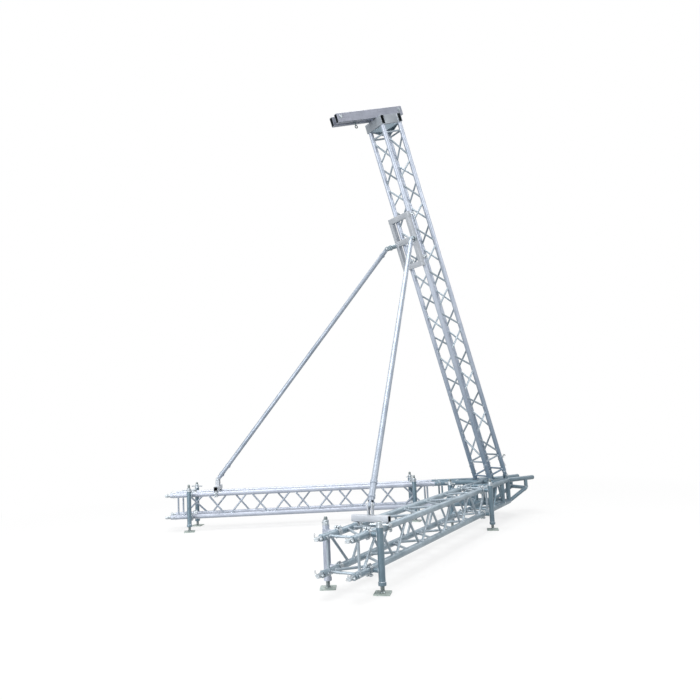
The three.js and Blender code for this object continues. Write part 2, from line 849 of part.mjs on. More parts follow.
function stayPin(pin, plane) {
  return pinBetween(pin, plane, fork_outside + stay_pin_overhang, stay_pin_diameter);
}

// Where a stay's two pins lie, and the direction of its pins, all in the tower's frame.
function stayLine(side) {
  const top = mastToTower(stubFrame(side).pin);
  const footPlan = outerAt(base_side_length + touch + leg_length - bracket_inset, side, 0);
  const inward = at(-side * splay_across.x, -splay_across.y, 0);
  const foot = footPlan.addScaledVector(inward, half_spacing).setZ(leg_top_height + bracket_pin_rise);
  const along = foot.clone().sub(top);
  const plane = at(-along.y, along.x, 0).normalize();
  return { top, foot, plane, length: along.length(), along: along.normalize() };
}

function collarFrame() {
  const { solids, bores } = collarCouplers();
  const stubs = [1, -1].flatMap((side) => {
    const { start, mouth, pin, direction } = stubFrame(side);
    const plane = towerToMast(stayLine(side).plane);
    const down = direction.clone().addScaledVector(plane, -direction.dot(plane)).normalize();
    const forks = forkPlates(pin, plane, down.negate(), fork_reach + stub_length / 2);
    const headStart = mouth.clone().addScaledVector(direction, -stub_head_length);
    return [bar(start, mouth, stay_diameter), bar(headStart, mouth, stub_head_diameter), ...forks];
  });
  const holes = [1, -1].flatMap((side) => {
    const { mouth, pin, direction } = stubFrame(side);
    const plane = towerToMast(stayLine(side).plane);
    const hollowStart = mouth.clone().addScaledVector(direction, -stub_length / 2);
    const hollowEnd = mouth.clone().addScaledVector(direction, cut_overrun);
    return [
      bar(hollowStart, hollowEnd, stub_bore_diameter),
      pinBetween(pin, plane, fork_outside + cut_overrun, fitBore(stay_pin_diameter)),
    ];
  });
  return cut(join([...collarLadder(), ...solids, ...stubs]), [...bores, ...holes]);
}

// A stay: its own z runs from the foot pin up to the top pin, and its pins lie along x.
// The tube ends short of the pins, and a flat tongue let into each end carries the pin hole.
function stay(length) {
  const tubeEnd = length - stay_tongue_length;
  const tube = uprightBar(stay_tongue_length, tubeEnd, stay_diameter);
  const ringHeights = [...stay_foot_ring_insets, length - stay_top_ring_inset];
  const rings = ringHeights.map((z) => uprightBar(z, z + stay_ring_length, stay_ring_diameter));
  const hollow = uprightBar(
    stay_tongue_length - cut_overrun,
    tubeEnd + cut_overrun,
    stay_bore_diameter,
  );
  const outline = lugOutline(stay_tongue_width, stay_tongue_length + stay_tongue_width / 2);
  const tongues = [
    plate(outline, stay_tongue_thickness, at(0, 0, 0), at(0, -1, 0), at(0, 0, -1)),
    plate(outline, stay_tongue_thickness, at(0, 0, length), at(0, 1, 0), at(0, 0, 1)),
  ];
  const reach = stay_tongue_thickness / 2 + cut_overrun;
  const pinHoles = [0, length].map((z) =>
    bar(at(-reach, 0, z), at(reach, 0, z), turningBore(stay_pin_diameter)),
  );
  return cut(join([cut(join([tube, ...rings]), [hollow]), ...tongues]), pinHoles);
}

// Stay bracket, in its leg's frame: a hollow cross beam on the top chords with a fork on it.
function stayBracket(pin, plane) {
  const x = leg_length - bracket_inset;
  const bottom = half_spacing + coupler_reach;
  const reach = half_spacing + bracket_beam_overhang;
  const beam = hollowBeam(
    at(bracket_beam_width, 2 * reach, bracket_beam_height),
    at(x, 0, bottom + bracket_beam_height / 2),
    bracket_beam_wall,
    true,
  );
  const chords = [1, -1].map((s) => at(x, s * half_spacing, half_spacing));
  const shells = chords.map((c) => couplerShell(c));
  const drop = pin.z - bottom - bracket_beam_height + bracket_beam_wall;
  const forks = forkPlates(pin, plane, at(0, 0, -1), drop);
  const hole = pinBetween(pin, plane, fork_outside + cut_overrun, fitBore(stay_pin_diameter));
  return cut(join([beam, ...shells, ...forks]), [...chords.map(couplerBore), hole]);
}

// The tower is put together
const tower = new THREE.Group();

for (const side of sides) {
  const sign = signOf(side);
  const leg = new THREE.Group();
  const start = outerAt(base_side_length + touch, sign, leg_centre_height);
  const inward = at(-sign * splay_across.x, -splay_across.y, 0);
  leg.position.copy(start).addScaledVector(inward, half_spacing);
  leg.rotation.z = Math.atan2(splay_along.y, sign * splay_along.x);
  tower.add(leg);
  node(side + "_leg_truss", legTruss(), "tube", leg);
  corners.forEach((_, i) => node(`${side}_leg_spigot_${i + 1}`, spigot(i, -touch / 2), "zinc", leg));
  jack_places.forEach(([place, x, face], i) => {
    const index = i + (sign > 0 ? 0 : jack_places.length);
    addJack(leg, `${side}_${place}_jack`, index, x, sign * face);
  });

  const line = stayLine(sign);
  leg.updateMatrixWorld(true);
  const toLeg = leg.matrixWorld.clone().invert();
  const pinInLeg = line.foot.clone().applyMatrix4(toLeg);
  const planeInLeg = line.plane.clone().transformDirection(toLeg);
  node(side + "_stay_bracket", stayBracket(pinInLeg, planeInLeg), "beam", leg);
  node(side + "_stay_foot_pin", stayPin(pinInLeg, planeInLeg), "zinc", leg);

  const stayGroup = new THREE.Group();
  const up = line.along.clone().negate();
  stayGroup.applyMatrix4(
    new THREE.Matrix4().makeBasis(line.plane, up.clone().cross(line.plane), up).setPosition(line.foot),
  );
  tower.add(stayGroup);
  node(side + "_stay", stay(line.length), "tube", stayGroup);
}

node("base_block", baseBlock(), "tube", tower);

for (const side of sides) {
  const pinGroup = new THREE.Group();
  pinGroup.position.set(signOf(side) * half_spacing, hinge_y, hinge_z);
  tower.add(pinGroup);
  node(side + "_hinge_pin", hingePin(), "zinc", pinGroup);
}

const mast = new THREE.Group();
mast.position.set(0, hinge_y, hinge_z);
mast.rotation.x = mast_lean;
tower.add(mast);
node("mast_foot", mastFoot(), "tube", mast);

// The truss is built along x about its own axis, so a group stands it up behind the front face.
const mastTrussGroup = new THREE.Group();
mastTrussGroup.position.set(0, -half_spacing, mast_foot_length);
mastTrussGroup.rotation.y = -Math.PI / 2;
mast.add(mastTrussGroup);
const mastPinHoles = [cross_pin_inset, mast_length - cross_pin_inset];
node("mast_truss", boxTruss(mast_length, mastPinHoles), "tube", mastTrussGroup);
corners.forEach((_, i) => node(`mast_spigot_${i + 1}`, spigot(i, -touch / 2), "zinc", mastTrussGroup));

node("head_frame", headFrame(), "beam", mast);
for (const side of sides) {
  node(side + "_header_beam", longBeam(signOf(side)), "beam", mast);
}
for (const [place, y] of Object.entries(bolt_ys)) {
  node(place + "_header_bolt", headerBolt(y), "zinc", mast);
}
node("hoist_block", hoistBlock(), "beam", mast);
node("hoist_eye_bolt", eyeBolt(), "steel", mast);
node("collar_frame", collarFrame(), "beam", mast);
for (const side of sides) {
  const sign = signOf(side);
  const plane = towerToMast(stayLine(sign).plane);
  node(side + "_stay_top_pin", stayPin(stubFrame(sign).pin, plane), "zinc", mast);
}

// The origin is under the middle of the tower's box.
const middle = new THREE.Box3().setFromObject(tower).getCenter(at(0, 0, 0));
tower.position.y = -middle.y;

const part = new THREE.Group();
part.add(tower);
export default part;
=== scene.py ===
# %% [markdown]
# # Line array truss tower
# The tower is a leaning mast of box truss that flies a row of loudspeakers. Two truss legs lie in a V on
# screw jacks, and two round stays hold the mast to them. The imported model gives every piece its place.
# This lesson dresses it with round tubes, weld beads, threads, clamps and pins, one step at a time.

import math

import bmesh
import bpy
from mathutils import Matrix, Vector


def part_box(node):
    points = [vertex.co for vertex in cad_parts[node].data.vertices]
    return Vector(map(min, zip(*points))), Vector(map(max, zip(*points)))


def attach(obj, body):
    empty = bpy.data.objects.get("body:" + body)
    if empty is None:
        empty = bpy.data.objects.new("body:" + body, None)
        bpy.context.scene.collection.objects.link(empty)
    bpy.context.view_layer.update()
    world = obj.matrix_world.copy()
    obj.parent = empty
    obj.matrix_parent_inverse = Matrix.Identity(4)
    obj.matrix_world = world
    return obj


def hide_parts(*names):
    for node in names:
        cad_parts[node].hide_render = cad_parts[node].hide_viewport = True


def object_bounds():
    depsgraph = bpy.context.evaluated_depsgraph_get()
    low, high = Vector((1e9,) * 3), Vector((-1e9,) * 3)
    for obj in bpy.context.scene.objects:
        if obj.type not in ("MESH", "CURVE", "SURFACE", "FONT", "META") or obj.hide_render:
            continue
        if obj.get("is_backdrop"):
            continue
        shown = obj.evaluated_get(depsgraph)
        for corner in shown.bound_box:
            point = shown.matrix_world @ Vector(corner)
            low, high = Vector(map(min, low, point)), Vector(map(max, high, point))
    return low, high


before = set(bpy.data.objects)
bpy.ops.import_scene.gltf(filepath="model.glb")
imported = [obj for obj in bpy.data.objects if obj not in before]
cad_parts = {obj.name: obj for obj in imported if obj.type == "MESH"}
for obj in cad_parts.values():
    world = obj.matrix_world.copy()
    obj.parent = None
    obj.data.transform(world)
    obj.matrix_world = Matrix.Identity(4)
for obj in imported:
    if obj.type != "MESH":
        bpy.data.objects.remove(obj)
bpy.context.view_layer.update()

# %% [markdown]
# ## The camera
# The photograph was taken from the right front, at chest height, looking slightly up with a small roll.
# The camera is placed by its position and three angles, so the same numbers can be read off a drawing.

# %% Camera
camera_place = Vector((5.8256, -4.0155, 1.2074))
camera_turn = math.radians(58.65)
camera_rise = math.radians(-5.68)
camera_roll = math.radians(-2.5)
picture_width = 700
focal_pixels = 662.15
sensor_width = 36


def make_camera():
    level = math.cos(camera_rise)
    back = Vector((math.sin(camera_turn) * level, -math.cos(camera_turn) * level, math.sin(camera_rise)))
    right = Vector((math.cos(camera_turn), math.sin(camera_turn), 0))
    up = back.cross(right)
    tilted_right = right * math.cos(camera_roll) + up * math.sin(camera_roll)
    tilted_up = back.cross(tilted_right)
    turn = Matrix((tilted_right, tilted_up, back)).transposed().to_4x4()
    data = bpy.data.cameras.new("camera")
    data.sensor_width = sensor_width
    data.lens = sensor_width * focal_pixels / picture_width
    camera = bpy.data.objects.new("camera", data)
    camera.matrix_world = Matrix.Translation(camera_place) @ turn
    bpy.context.scene.collection.objects.link(camera)
    bpy.context.scene.camera = camera


make_camera()
print("camera at", tuple(camera_place))

# %% [markdown]
# ## Shader wiring
# A finish is a small graph of nodes. Wiring it by hand takes many lines, so one class wraps a socket and
# lets sums and products be written as Python, and one method makes any other node.


# %% Wiring helpers
class Wire:
    """The output socket of a node, which can stand in a sum or a product."""

    def __init__(self, finish, socket):
        self.finish = finish
        self.socket = socket

    def __add__(self, other):
        return self.finish.sum_of("ADD", self, other)

    def __mul__(self, other):
        return self.finish.sum_of("MULTIPLY", self, other)

    __radd__ = __add__


class Finish:
    """The graph of a material or a world."""

    def __init__(self, holder):
        self.holder = holder
        holder.use_nodes = True
        self.nodes = holder.node_tree.nodes
        self.links = holder.node_tree.links
        self.nodes.clear()

    def node(self, kind, settings, sockets, output=0):
        made = self.nodes.new(kind)
        for key, value in settings.items():
            if key == "stops":
                for stop, (place, tone) in zip(made.color_ramp.elements, value):
                    stop.position = place
                    stop.color = (tone, tone, tone, 1)
            else:
                setattr(made, key, value)
        for key, value in sockets.items():
            if isinstance(value, Wire):
                self.links.new(value.socket, made.inputs[key])
            else:
                made.inputs[key].default_value = value
        return Wire(self, made.outputs[output]) if made.outputs else None

    def sum_of(self, operation, first, second):
        return self.node("ShaderNodeMath", {"operation": operation}, {0: first, 1: second})

    def blend(self, factor, low, high):
        settings = {"data_type": "RGBA"}
        return self.node("ShaderNodeMix", settings, {0: factor, 6: low, 7: high}, 2)

    def noise(self, place, scale, detail=3.0):
        sockets = {"Vector": place, "Scale": scale, "Detail": detail}
        return self.node("ShaderNodeTexNoise", {}, sockets)

    def between(self, value, low, high):
        stops = [(low, 0), (high, 1)]
        return self.node("ShaderNodeValToRGB", {"stops": stops}, {"Fac": value})

    def surface(self, sockets):
        shader = self.node("ShaderNodeBsdfPrincipled", {}, sockets)
        self.node("ShaderNodeOutputMaterial", {}, {"Surface": shader})
        return self.holder


def shade(tone, strength=1):
    return [part * strength for part in tone] + [1]


print("wiring ready")

# %% [markdown]
# ## Finishes
# The tubes are mill-finish aluminium, drawn through a die, so they carry fine streaks along their length
# and a cloudy oxide skin. Each shape keeps its own coordinates in an attribute named grain, with z along
# the tube. The streaks are noise stretched along that z, so they follow every tube.


# %% Drawn aluminium
def drawn_metal(name, dark, light, metal, rough, streak_scale=5.0, painted_low_shade=0.0):
    """Streaks along the grain, clouds and smudges. A low shade strength adds painted shade that darkens the
    metal toward the floor.
    """
    finish = Finish(bpy.data.materials.new(name))
    grain = finish.node("ShaderNodeAttribute", {"attribute_name": "grain"}, {}, 1)
    place = finish.node("ShaderNodeTexCoord", {}, {}, 3)
    stretch = {"Vector": grain, "Scale": (420, 420, streak_scale)}
    streaks = finish.noise(finish.node("ShaderNodeMapping", {}, stretch), 1.0, 4.0)
    clouds = finish.noise(place, 7.0)
    smudges = finish.between(finish.noise(place, 38.0, 4.0), 0.52, 0.74)
    tone = finish.between(streaks * 0.45 + clouds * 0.55, 0.3, 0.7)
    colour = finish.blend(tone, shade(dark), shade(light))
    colour = finish.blend(smudges * 0.22, colour, shade(dark, 0.72))
    # Painted shade: the colour turns to a dark steel blue toward the floor.
    if painted_low_shade:
        height = finish.node("ShaderNodeSeparateXYZ", {}, {"Vector": place}, 2)
        heights = {"Value": height, "From Min": low_shade_full, "From Max": low_shade_end}
        strengths = {"To Min": painted_low_shade, "To Max": 0.0}
        near_floor = finish.node("ShaderNodeMapRange", {}, {**heights, **strengths})
        colour = finish.blend(near_floor, colour, shade(low_shade_blue))
    bump = {"Strength": 0.35, "Distance": 0.00004, "Height": streaks + smudges * 0.4}
    sockets = {
        "Base Color": colour,
        "Metallic": metal,
        "Roughness": rough + streaks * 0.14 + smudges * 0.12,
        "Specular IOR Level": 0.45,
        "Normal": finish.node("ShaderNodeBump", {}, bump),
    }
    return finish.surface(sockets)


# Painted shade low on the mast: its steel blue, and the heights where it is full and where it ends.
low_shade_blue = (0.09, 0.17, 0.25)
low_shade_full, low_shade_end = 0.45, 2.1
drawn_tube = drawn_metal("drawn_aluminium_tube", (0.40, 0.44, 0.53), (0.58, 0.62, 0.71), 0.25, 0.3)
stay_tube = drawn_metal("stay_aluminium_tube", (0.25, 0.30, 0.37), (0.46, 0.51, 0.59), 0.3, 0.26)
# Painted shade: a darker copy of the aluminium, for the right leg's chords and the gussets under the head.
shaded_aluminium = drawn_metal("painted_shade_aluminium", (0.15, 0.22, 0.27), (0.42, 0.51, 0.58), 0.3, 0.24)
dull_tube = drawn_metal("dull_aluminium_tube", (0.09, 0.15, 0.20), (0.26, 0.35, 0.41), 0.3, 0.26)
# Painted shade: a darker copy of the aluminium for the stub arms.
shaded_stub_aluminium = drawn_metal("painted_shade_stub_aluminium", (0.16, 0.22, 0.25), (0.34, 0.41, 0.46), 0.2, 0.28)
beam_tones = (0.42, 0.45, 0.49), (0.58, 0.61, 0.66)
extruded_beam = drawn_metal("extruded_aluminium_beam", *beam_tones, 0.15, 0.4, 3.0)
header_beam = drawn_metal("lilac_aluminium_beam", (0.24, 0.26, 0.31), (0.40, 0.42, 0.50), 0.15, 0.4, 3.0)
cross_beam = drawn_metal("dull_aluminium_beam", (0.29, 0.32, 0.36), (0.43, 0.47, 0.51), 0.15, 0.4, 3.0)
mast_tones = (0.38, 0.44, 0.54), (0.58, 0.62, 0.71)
# The mast's aluminium carries painted shade toward the floor.
mast_tube = drawn_metal("mast_aluminium_tube", *mast_tones, 0.25, 0.3, painted_low_shade=0.75)
brace_tube = drawn_metal("brace_aluminium_tube", (0.24, 0.30, 0.35), (0.46, 0.53, 0.59), 0.3, 0.26)
# Painted shade: near-black aluminium for the inside of hollow beams.
painted_bore_shade = drawn_metal("painted_shade_beam_bore", (0.02, 0.03, 0.04), (0.06, 0.08, 0.09), 0.05, 0.7)
print("aluminium finishes", 11)

# %% [markdown]
# ## Weld and plating
# A weld bead is brighter than the tube, because it was molten and brushed, and it is rippled. The jack
# screws, clamps and pins are zinc-plated steel: a cold grey with a faint crystal spangle, darker where
# oil has stayed.


# %% Beads, plated and bare steel
def speckled_metal(name, dark, light, metal, rough, spot_scale, relief):
    """Crystal spots with clouds over them, and grime in patches."""
    finish = Finish(bpy.data.materials.new(name))
    place = finish.node("ShaderNodeTexCoord", {}, {}, 3)
    spangle = finish.node("ShaderNodeTexVoronoi", {}, {"Vector": place, "Scale": spot_scale}, 1)
    grey = finish.node("ShaderNodeRGBToBW", {}, {"Color": spangle})
    clouds = finish.noise(place, 26.0, 4.0)
    tone = finish.between(grey * 0.4 + clouds * 0.6, 0.28, 0.72)
    grime = finish.between(finish.noise(place, 64.0, 5.0), 0.55, 0.75)
    colour = finish.blend(tone, shade(dark), shade(light))
    colour = finish.blend(grime * 0.5, colour, shade(dark, 0.5))
    height = {"Strength": 0.4, "Distance": relief, "Height": clouds + grime * 0.5}
    sockets = {
        "Base Color": colour,
        "Metallic": metal,
        "Roughness": rough + grey * 0.1 + grime * 0.15,
        "Normal": finish.node("ShaderNodeBump", {}, height),
    }
    return finish.surface(sockets)


weld_metal = speckled_metal("brushed_weld", (0.50, 0.56, 0.63), (0.78, 0.82, 0.87), 0.5, 0.3, 700, 0.0002)
zinc_tones = (0.30, 0.35, 0.38), (0.62, 0.66, 0.70)
zinc_plate = speckled_metal("zinc_plated_steel", *zinc_tones, 0.5, 0.26, 320, 0.00008)
plate_tones = (0.28, 0.35, 0.33), (0.46, 0.51, 0.48)
galvanised = speckled_metal("galvanised_plate", *plate_tones, 0.35, 0.45, 160, 0.0001)
dark_steel = speckled_metal("oiled_steel", (0.05, 0.08, 0.09), (0.16, 0.20, 0.21), 0.6, 0.35, 260, 0.0001)
print("steel finishes", 4)

# %% [markdown]
# ## Shapes and places
# Nearly everything here is round stock, so most shapes are spun: a profile of radius and height is turned
# once about z. A finished shape is kept as a small mesh and stamped into a piece wherever the tower has
# one, which is how a workshop would cut fifty equal braces and then set them in a jig.

# %% Spinning and stamping
up = Vector((0, 0, 1))
level = Matrix.Identity(4)
crease_angle = math.radians(32)
lip, fine_edge = 0.001, 0.0008


def at(*place):
    return Matrix.Translation(place)


def rotation(angle, axis):
    return Matrix.Rotation(angle, 4, axis)


quarter_x, quarter_z = rotation(math.pi / 2, "X"), rotation(math.pi / 2, "Z")


def facing(along, start):
    """Stands z along a direction, with the origin at a point."""
    turn = up.rotation_difference(Vector(along)).to_matrix().to_4x4()
    return at(*start) @ turn


def new_piece():
    piece = bmesh.new()
    piece.verts.layers.float_vector.new("grain")
    return piece


def as_shape(bm, shift=0.0):
    """Closes a shape and writes its own coordinates down as its grain."""
    bmesh.ops.remove_doubles(bm, verts=bm.verts, dist=1e-6)
    bmesh.ops.recalc_face_normals(bm, faces=bm.faces)
    grain = bm.verts.layers.float_vector.get("grain") or bm.verts.layers.float_vector.new("grain")
    for vert in bm.verts:
        vert[grain] = vert.co + Vector((shift, shift * 1.7, shift * 0.6))
    mesh = bpy.data.meshes.new("shape")
    bm.to_mesh(mesh)
    bm.free()
    return mesh


def spin_round(bm, steps):
    turn = {"axis": up, "cent": (0, 0, 0), "angle": math.tau, "steps": steps, "use_merge": True}
    bmesh.ops.spin(bm, geom=bm.verts[:] + bm.edges[:], **turn)


def turned(profile, sides, shift=0.0, closed=False):
    """Spins a profile of radius and height once about z."""
    bm = bmesh.new()
    verts = [bm.verts.new((radius, 0, height)) for radius, height in profile]
    pairs = list(zip(verts, verts[1:])) + ([(verts[-1], verts[0])] if closed else [])
    for pair in pairs:
        bm.edges.new(pair)
    spin_round(bm, sides)
    return as_shape(bm, shift)


def bar_outline(length, radius, chamfer, bore=0):
    inner = radius - chamfer
    foot = [(bore, 0), (inner, 0), (radius, chamfer)]
    return foot + [(radius, length - chamfer), (inner, length), (bore, length)]


def rod(length, radius, chamfer, sides=24, shift=0.0):
    return turned(bar_outline(length, radius, chamfer), sides, shift)


def pipe(length, radius, bore, chamfer, sides=24):
    return turned(bar_outline(length, radius, chamfer, bore), sides, closed=True)


def mirrored(half):
    """A profile that is the same above and below the origin, from its upper half."""
    return [(radius, -height) for radius, height in half] + half[::-1]


def stamp(piece, shape, place=level):
    """Adds a copy of a shape to a piece."""
    copy = shape.copy()
    copy.transform(place)
    piece.from_mesh(copy)
    bpy.data.meshes.remove(copy)


def lay(piece, shape, start, end):
    stamp(piece, shape, facing(end - start, start))


def finish_piece(piece, name, body, finish, slot, place, nodes=()):
    """Makes an object of a piece, in the tower's frame, hangs it on its body and hides the nodes that it
    stands for.
    """
    bmesh.ops.recalc_face_normals(piece, faces=piece.faces)
    piece.transform(place)
    mesh = bpy.data.meshes.new(name)
    piece.to_mesh(mesh)
    piece.free()
    mesh.shade_smooth()
    mesh.set_sharp_from_angle(angle=crease_angle)
    mesh.materials.append(finish)
    # A piece with bridge faces gets the painted shade of a beam's inside as its second material.
    if any(face.material_index for face in mesh.polygons):
        mesh.materials.append(painted_bore_shade)
    made = bpy.data.objects.new(name, mesh)
    bpy.context.scene.collection.objects.link(made)
    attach(made, body)
    if nodes:
        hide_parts(*nodes)
    print(name, len(mesh.polygons), "faces")


def finish_parts(name, body, place, *parts):
    """Each part is a piece, the end of its name, a finish, a slot, which is not used, and the nodes that it
    stands for.
    """
    for piece, part, finish, slot, *nodes in parts:
        finish_piece(piece, f"{name}_{part}", body, finish, slot, place, nodes)


# %% [markdown]
# ## The frames that the tower is built in
# A leg, the mast and a stay are each simple in their own frame and awkward in the tower's. So each is
# modelled lying along its own axis, and its frame moves it into place at the end. The lengths are the
# ones that the model was built with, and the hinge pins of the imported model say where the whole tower
# stands.

# %% Frames of the legs and the mast
chord_radius = 0.025
chord_bore = 0.022
half_spacing = 0.120
leg_length = 3.0
leg_splay = math.radians(30)
leg_height = 0.274
base_side_length = 0.729
running_gap = 0.0003
mast_lean = math.radians(17.4)
mast_foot_length = 0.165
mast_length = 4.0

pin_low, pin_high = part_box("right_hinge_pin")
hinge = Vector((0, (pin_low.y + pin_high.y) / 2, (pin_low.z + pin_high.z) / 2))
rear_y = hinge.y + 0.027
mast_frame = at(*hinge) @ rotation(mast_lean, "X")
signs = {"right": 1, "left": -1}


def along_leg(side):
    return Vector((signs[side] * math.sin(leg_splay), -math.cos(leg_splay), 0))


def across_leg(side):
    return Vector((signs[side] * math.cos(leg_splay), math.sin(leg_splay), 0))


def outer_line(side, distance, height):
    start = Vector((signs[side] * half_spacing, rear_y, height))
    return start + along_leg(side) * distance


def leg_frame(side):
    start = outer_line(side, base_side_length + running_gap, leg_height) - across_leg(side) * half_spacing
    turn = math.atan2(along_leg(side).y, along_leg(side).x)
    return at(*start) @ rotation(turn, "Z")


print("hinge at", [round(part, 4) for part in hinge])

# %% [markdown]
# ## Cutting a tube to sit on another
# A brace doesn't end flat: its end is cut to a saddle that sits on the round chord. Here the end of a
# plain cylinder is slid along its own axis, point by point, until it lies on the chord's surface. The
# weld bead is a thin ring that takes the same path, with a ripple for each dab of the torch.


# %% Coped tubes and weld beads
def slide_onto(x, y, chord, radius):
    """How far up its own z a point has to go to lie on a round chord through the origin."""
    dot = x * chord.x + y * chord.y
    squared = 1 - chord.z**2
    middle = dot * chord.z / squared
    rest = (x * x + y * y - dot * dot - radius * radius) / squared
    return middle + math.sqrt(max(0.0, middle * middle - rest))


def coped_tube(piece, start, end, radius, chords, sides=14, shift=0.0):
    """A tube from start to end, cut to a chord at each. A chord is a direction and a radius."""
    place = facing(end - start, start)
    local = place.to_3x3().inverted()
    length = (end - start).length
    bm = bmesh.new()
    middle = at(0, 0, length / 2)
    sizes = {"segments": sides, "radius1": radius, "radius2": radius, "depth": length}
    bmesh.ops.create_cone(bm, cap_ends=True, matrix=middle, **sizes)
    for vert in bm.verts:
        at_end = vert.co.z > length / 2
        direction = local @ chords[at_end][0]
        way = -1 if at_end else 1
        direction.z *= way
        vert.co.z += way * slide_onto(vert.co.x, vert.co.y, direction, chords[at_end][1])
    stamp(piece, as_shape(bm, shift), place)


def weld_ring(radius, bead, steps, ripple=0.18):
    """A rippled ring of weld round a tube."""
    bm = bmesh.new()
    made = bmesh.ops.create_circle(bm, segments=5, radius=bead)
    quarter = quarter_x
    bmesh.ops.transform(bm, matrix=at(radius, 0, 0) @ quarter, verts=made["verts"])
    spin_round(bm, steps)
    for vert in bm.verts:
        turn_here = math.atan2(vert.co.y, vert.co.x)
        ring = Vector((math.cos(turn_here) * radius, math.sin(turn_here) * radius, 0))
        wave = 1 + ripple * math.cos(turn_here * steps / 2)
        vert.co = ring + (vert.co - ring) * wave
    return as_shape(bm)


def seam(radius, steps):
    """The ring of weld where a tube ends on a wider piece."""
    return weld_ring(radius + seam_lift, seam_bead, steps)


def weld_at(piece, start, toward, radius, chord, bead=0.0026):
    """A bead where a tube that runs toward a point lands on a chord through start."""
    place = facing(toward - start, start)
    direction = place.to_3x3().inverted() @ chord[0]
    ring = weld_ring(radius + bead * 0.3, bead, steps=18 if radius < 0.02 else 28)
    for vert in ring.vertices:
        turn_here = math.atan2(vert.co.y, vert.co.x)
        x, y = math.cos(turn_here) * radius, math.sin(turn_here) * radius
        vert.co.z += slide_onto(x, y, direction, chord[1])
    stamp(piece, ring, place)


def welded_brace(tubes, beads, start, end, chord, shift=0.0):
    """A brace let a little into two chords that run one way, with a bead round each end."""
    wall = (chord, chord_radius - let_in)
    coped_tube(tubes, start, end, brace_radius, (wall, wall), shift=shift)
    for here, there in ((start, end), (end, start)):
        weld_at(beads, here, there, brace_radius, (chord, chord_radius))


brace_radius, let_in = 0.010, 0.0015
seam_lift, seam_bead = 0.0005, 0.0024
print("coping ready")

# %% [markdown]
# ## Box truss
# A section of box truss is four chords, a square frame near each end and a zigzag of braces in each face.
# The chord ends are thick-walled receivers for the spigots, and a bead of weld shows where each one was
# let in.

# %% Box truss
end_frame_inset = 0.085
first_node_inset = 0.150
brace_start_inset = 0.122
brace_pitch = 0.244
brace_gap = 0.042
receiver_depth = 0.072
receiver_bore = 0.0183
x_axis = Vector((1, 0, 0))
corners = [(-half_spacing, -half_spacing), (-half_spacing, half_spacing)]
corners += [(half_spacing, half_spacing), (half_spacing, -half_spacing)]


def corner(index, x):
    return Vector((x, *corners[index % 4]))


def zigzag(face, length):
    span = length - 2 * first_node_inset
    count = max(1, round(span / brace_pitch))
    pitch = span / count
    for i in range(count):
        near, far = (face, face + 1) if i % 2 == 0 else (face + 1, face)
        step = first_node_inset + i * pitch
        first = brace_start_inset if i == 0 else step + brace_gap / 2
        last = length - brace_start_inset if i == count - 1 else step + pitch - brace_gap / 2
        yield corner(near, first), corner(far, last)


def brace_lines(length):
    for x in (end_frame_inset, length - end_frame_inset):
        for i in range(4):
            yield corner(i, x), corner(i + 1, x)
    for face in range(4):
        yield from zigzag(face, length)


def chord_tube(length, shift):
    near, far = receiver_depth, length - receiver_depth
    outside = bar_outline(length, chord_radius, lip, receiver_bore)
    inside = [(receiver_bore, far), (chord_bore, far), (chord_bore, near), (receiver_bore, near)]
    return turned(outside + inside, 32, shift, closed=True)


def socket_tube(length, shift):
    """A chord that is closed below and has a receiver at its top."""
    seat = length - receiver_depth
    outside = [(0, 0), (chord_radius, 0), (chord_radius, length - lip), (chord_radius - lip, length)]
    return turned([*outside, (receiver_bore, length), (receiver_bore, seat), (0, seat)], 32, shift)


socket_ring = weld_ring(chord_radius + 0.0002, 0.0013, 36)
socket_seam = receiver_depth - 0.012


def box_truss(name, body, length, place, finishes, node):
    tubes, braces, beads = new_piece(), new_piece(), new_piece()
    for i in range(4):
        lay(tubes, chord_tube(length, i * 0.31), corner(i, 0), corner(i, length))
        for x in (socket_seam, length - socket_seam):
            stamp(beads, socket_ring, facing(x_axis, corner(i, x)))
    for count, (start, end) in enumerate(brace_lines(length)):
        welded_brace(braces, beads, start, end, x_axis, count * 0.13)
    chords = (tubes, "chords", finishes[0], "tube", node)
    zigzags = (braces, "braces", finishes[1], "tube")
    finish_parts(name, body, place, chords, zigzags, (beads, "welds", weld_metal, "tube"))


# Both legs are one aluminium: the left leg's chords take the lighter drawn tone as painted light, the right
# leg's the darker copy as painted shade.
leg_finishes = {"right": (shaded_aluminium, brace_tube), "left": (drawn_tube, stay_tube)}
for side in signs:
    node = side + "_leg_truss"
    box_truss(side + "_leg_box_truss", "base", leg_length, leg_frame(side), leg_finishes[side], node)
mast_axis = at(0, -half_spacing, mast_foot_length) @ rotation(-math.pi / 2, "Y")
mast_finishes = (mast_tube, brace_tube)
box_truss("mast_box_truss", "mast", mast_length, mast_frame @ mast_axis, mast_finishes, "mast_truss")

# %% [markdown]
# ## Pins, spring clips, nuts and bolts
# The small hardware is what shows that a rig is real. A spring clip is one bent wire, so it is drawn as a
# curve with a round section and then made a mesh. Nuts are six-sided prisms with their edges broken by a
# bevel.


# %% Small hardware shapes
def bevelled(bm, edges, offset, segments=1):
    how = {"affect": "EDGES", "segments": segments, "profile": 0.5, "material": -1}
    bmesh.ops.bevel(bm, geom=edges, offset=offset, **how)


def rise(edge, axis=2):
    """How far an edge goes along an axis."""
    return abs(edge.verts[0].co[axis] - edge.verts[1].co[axis])


def hex_shape(across, height, chamfer=0.0012):
    """A hexagon head or nut that stands on the origin."""
    bm = bmesh.new()
    radius = across / 2 / math.cos(math.pi / 6)
    sizes = {"segments": 6, "radius1": radius, "radius2": radius, "depth": height}
    bmesh.ops.create_cone(bm, cap_ends=True, matrix=at(0, 0, height / 2), **sizes)
    flat = [edge for edge in bm.edges if rise(edge) < 1e-6]
    bevelled(bm, flat, chamfer)
    return as_shape(bm)


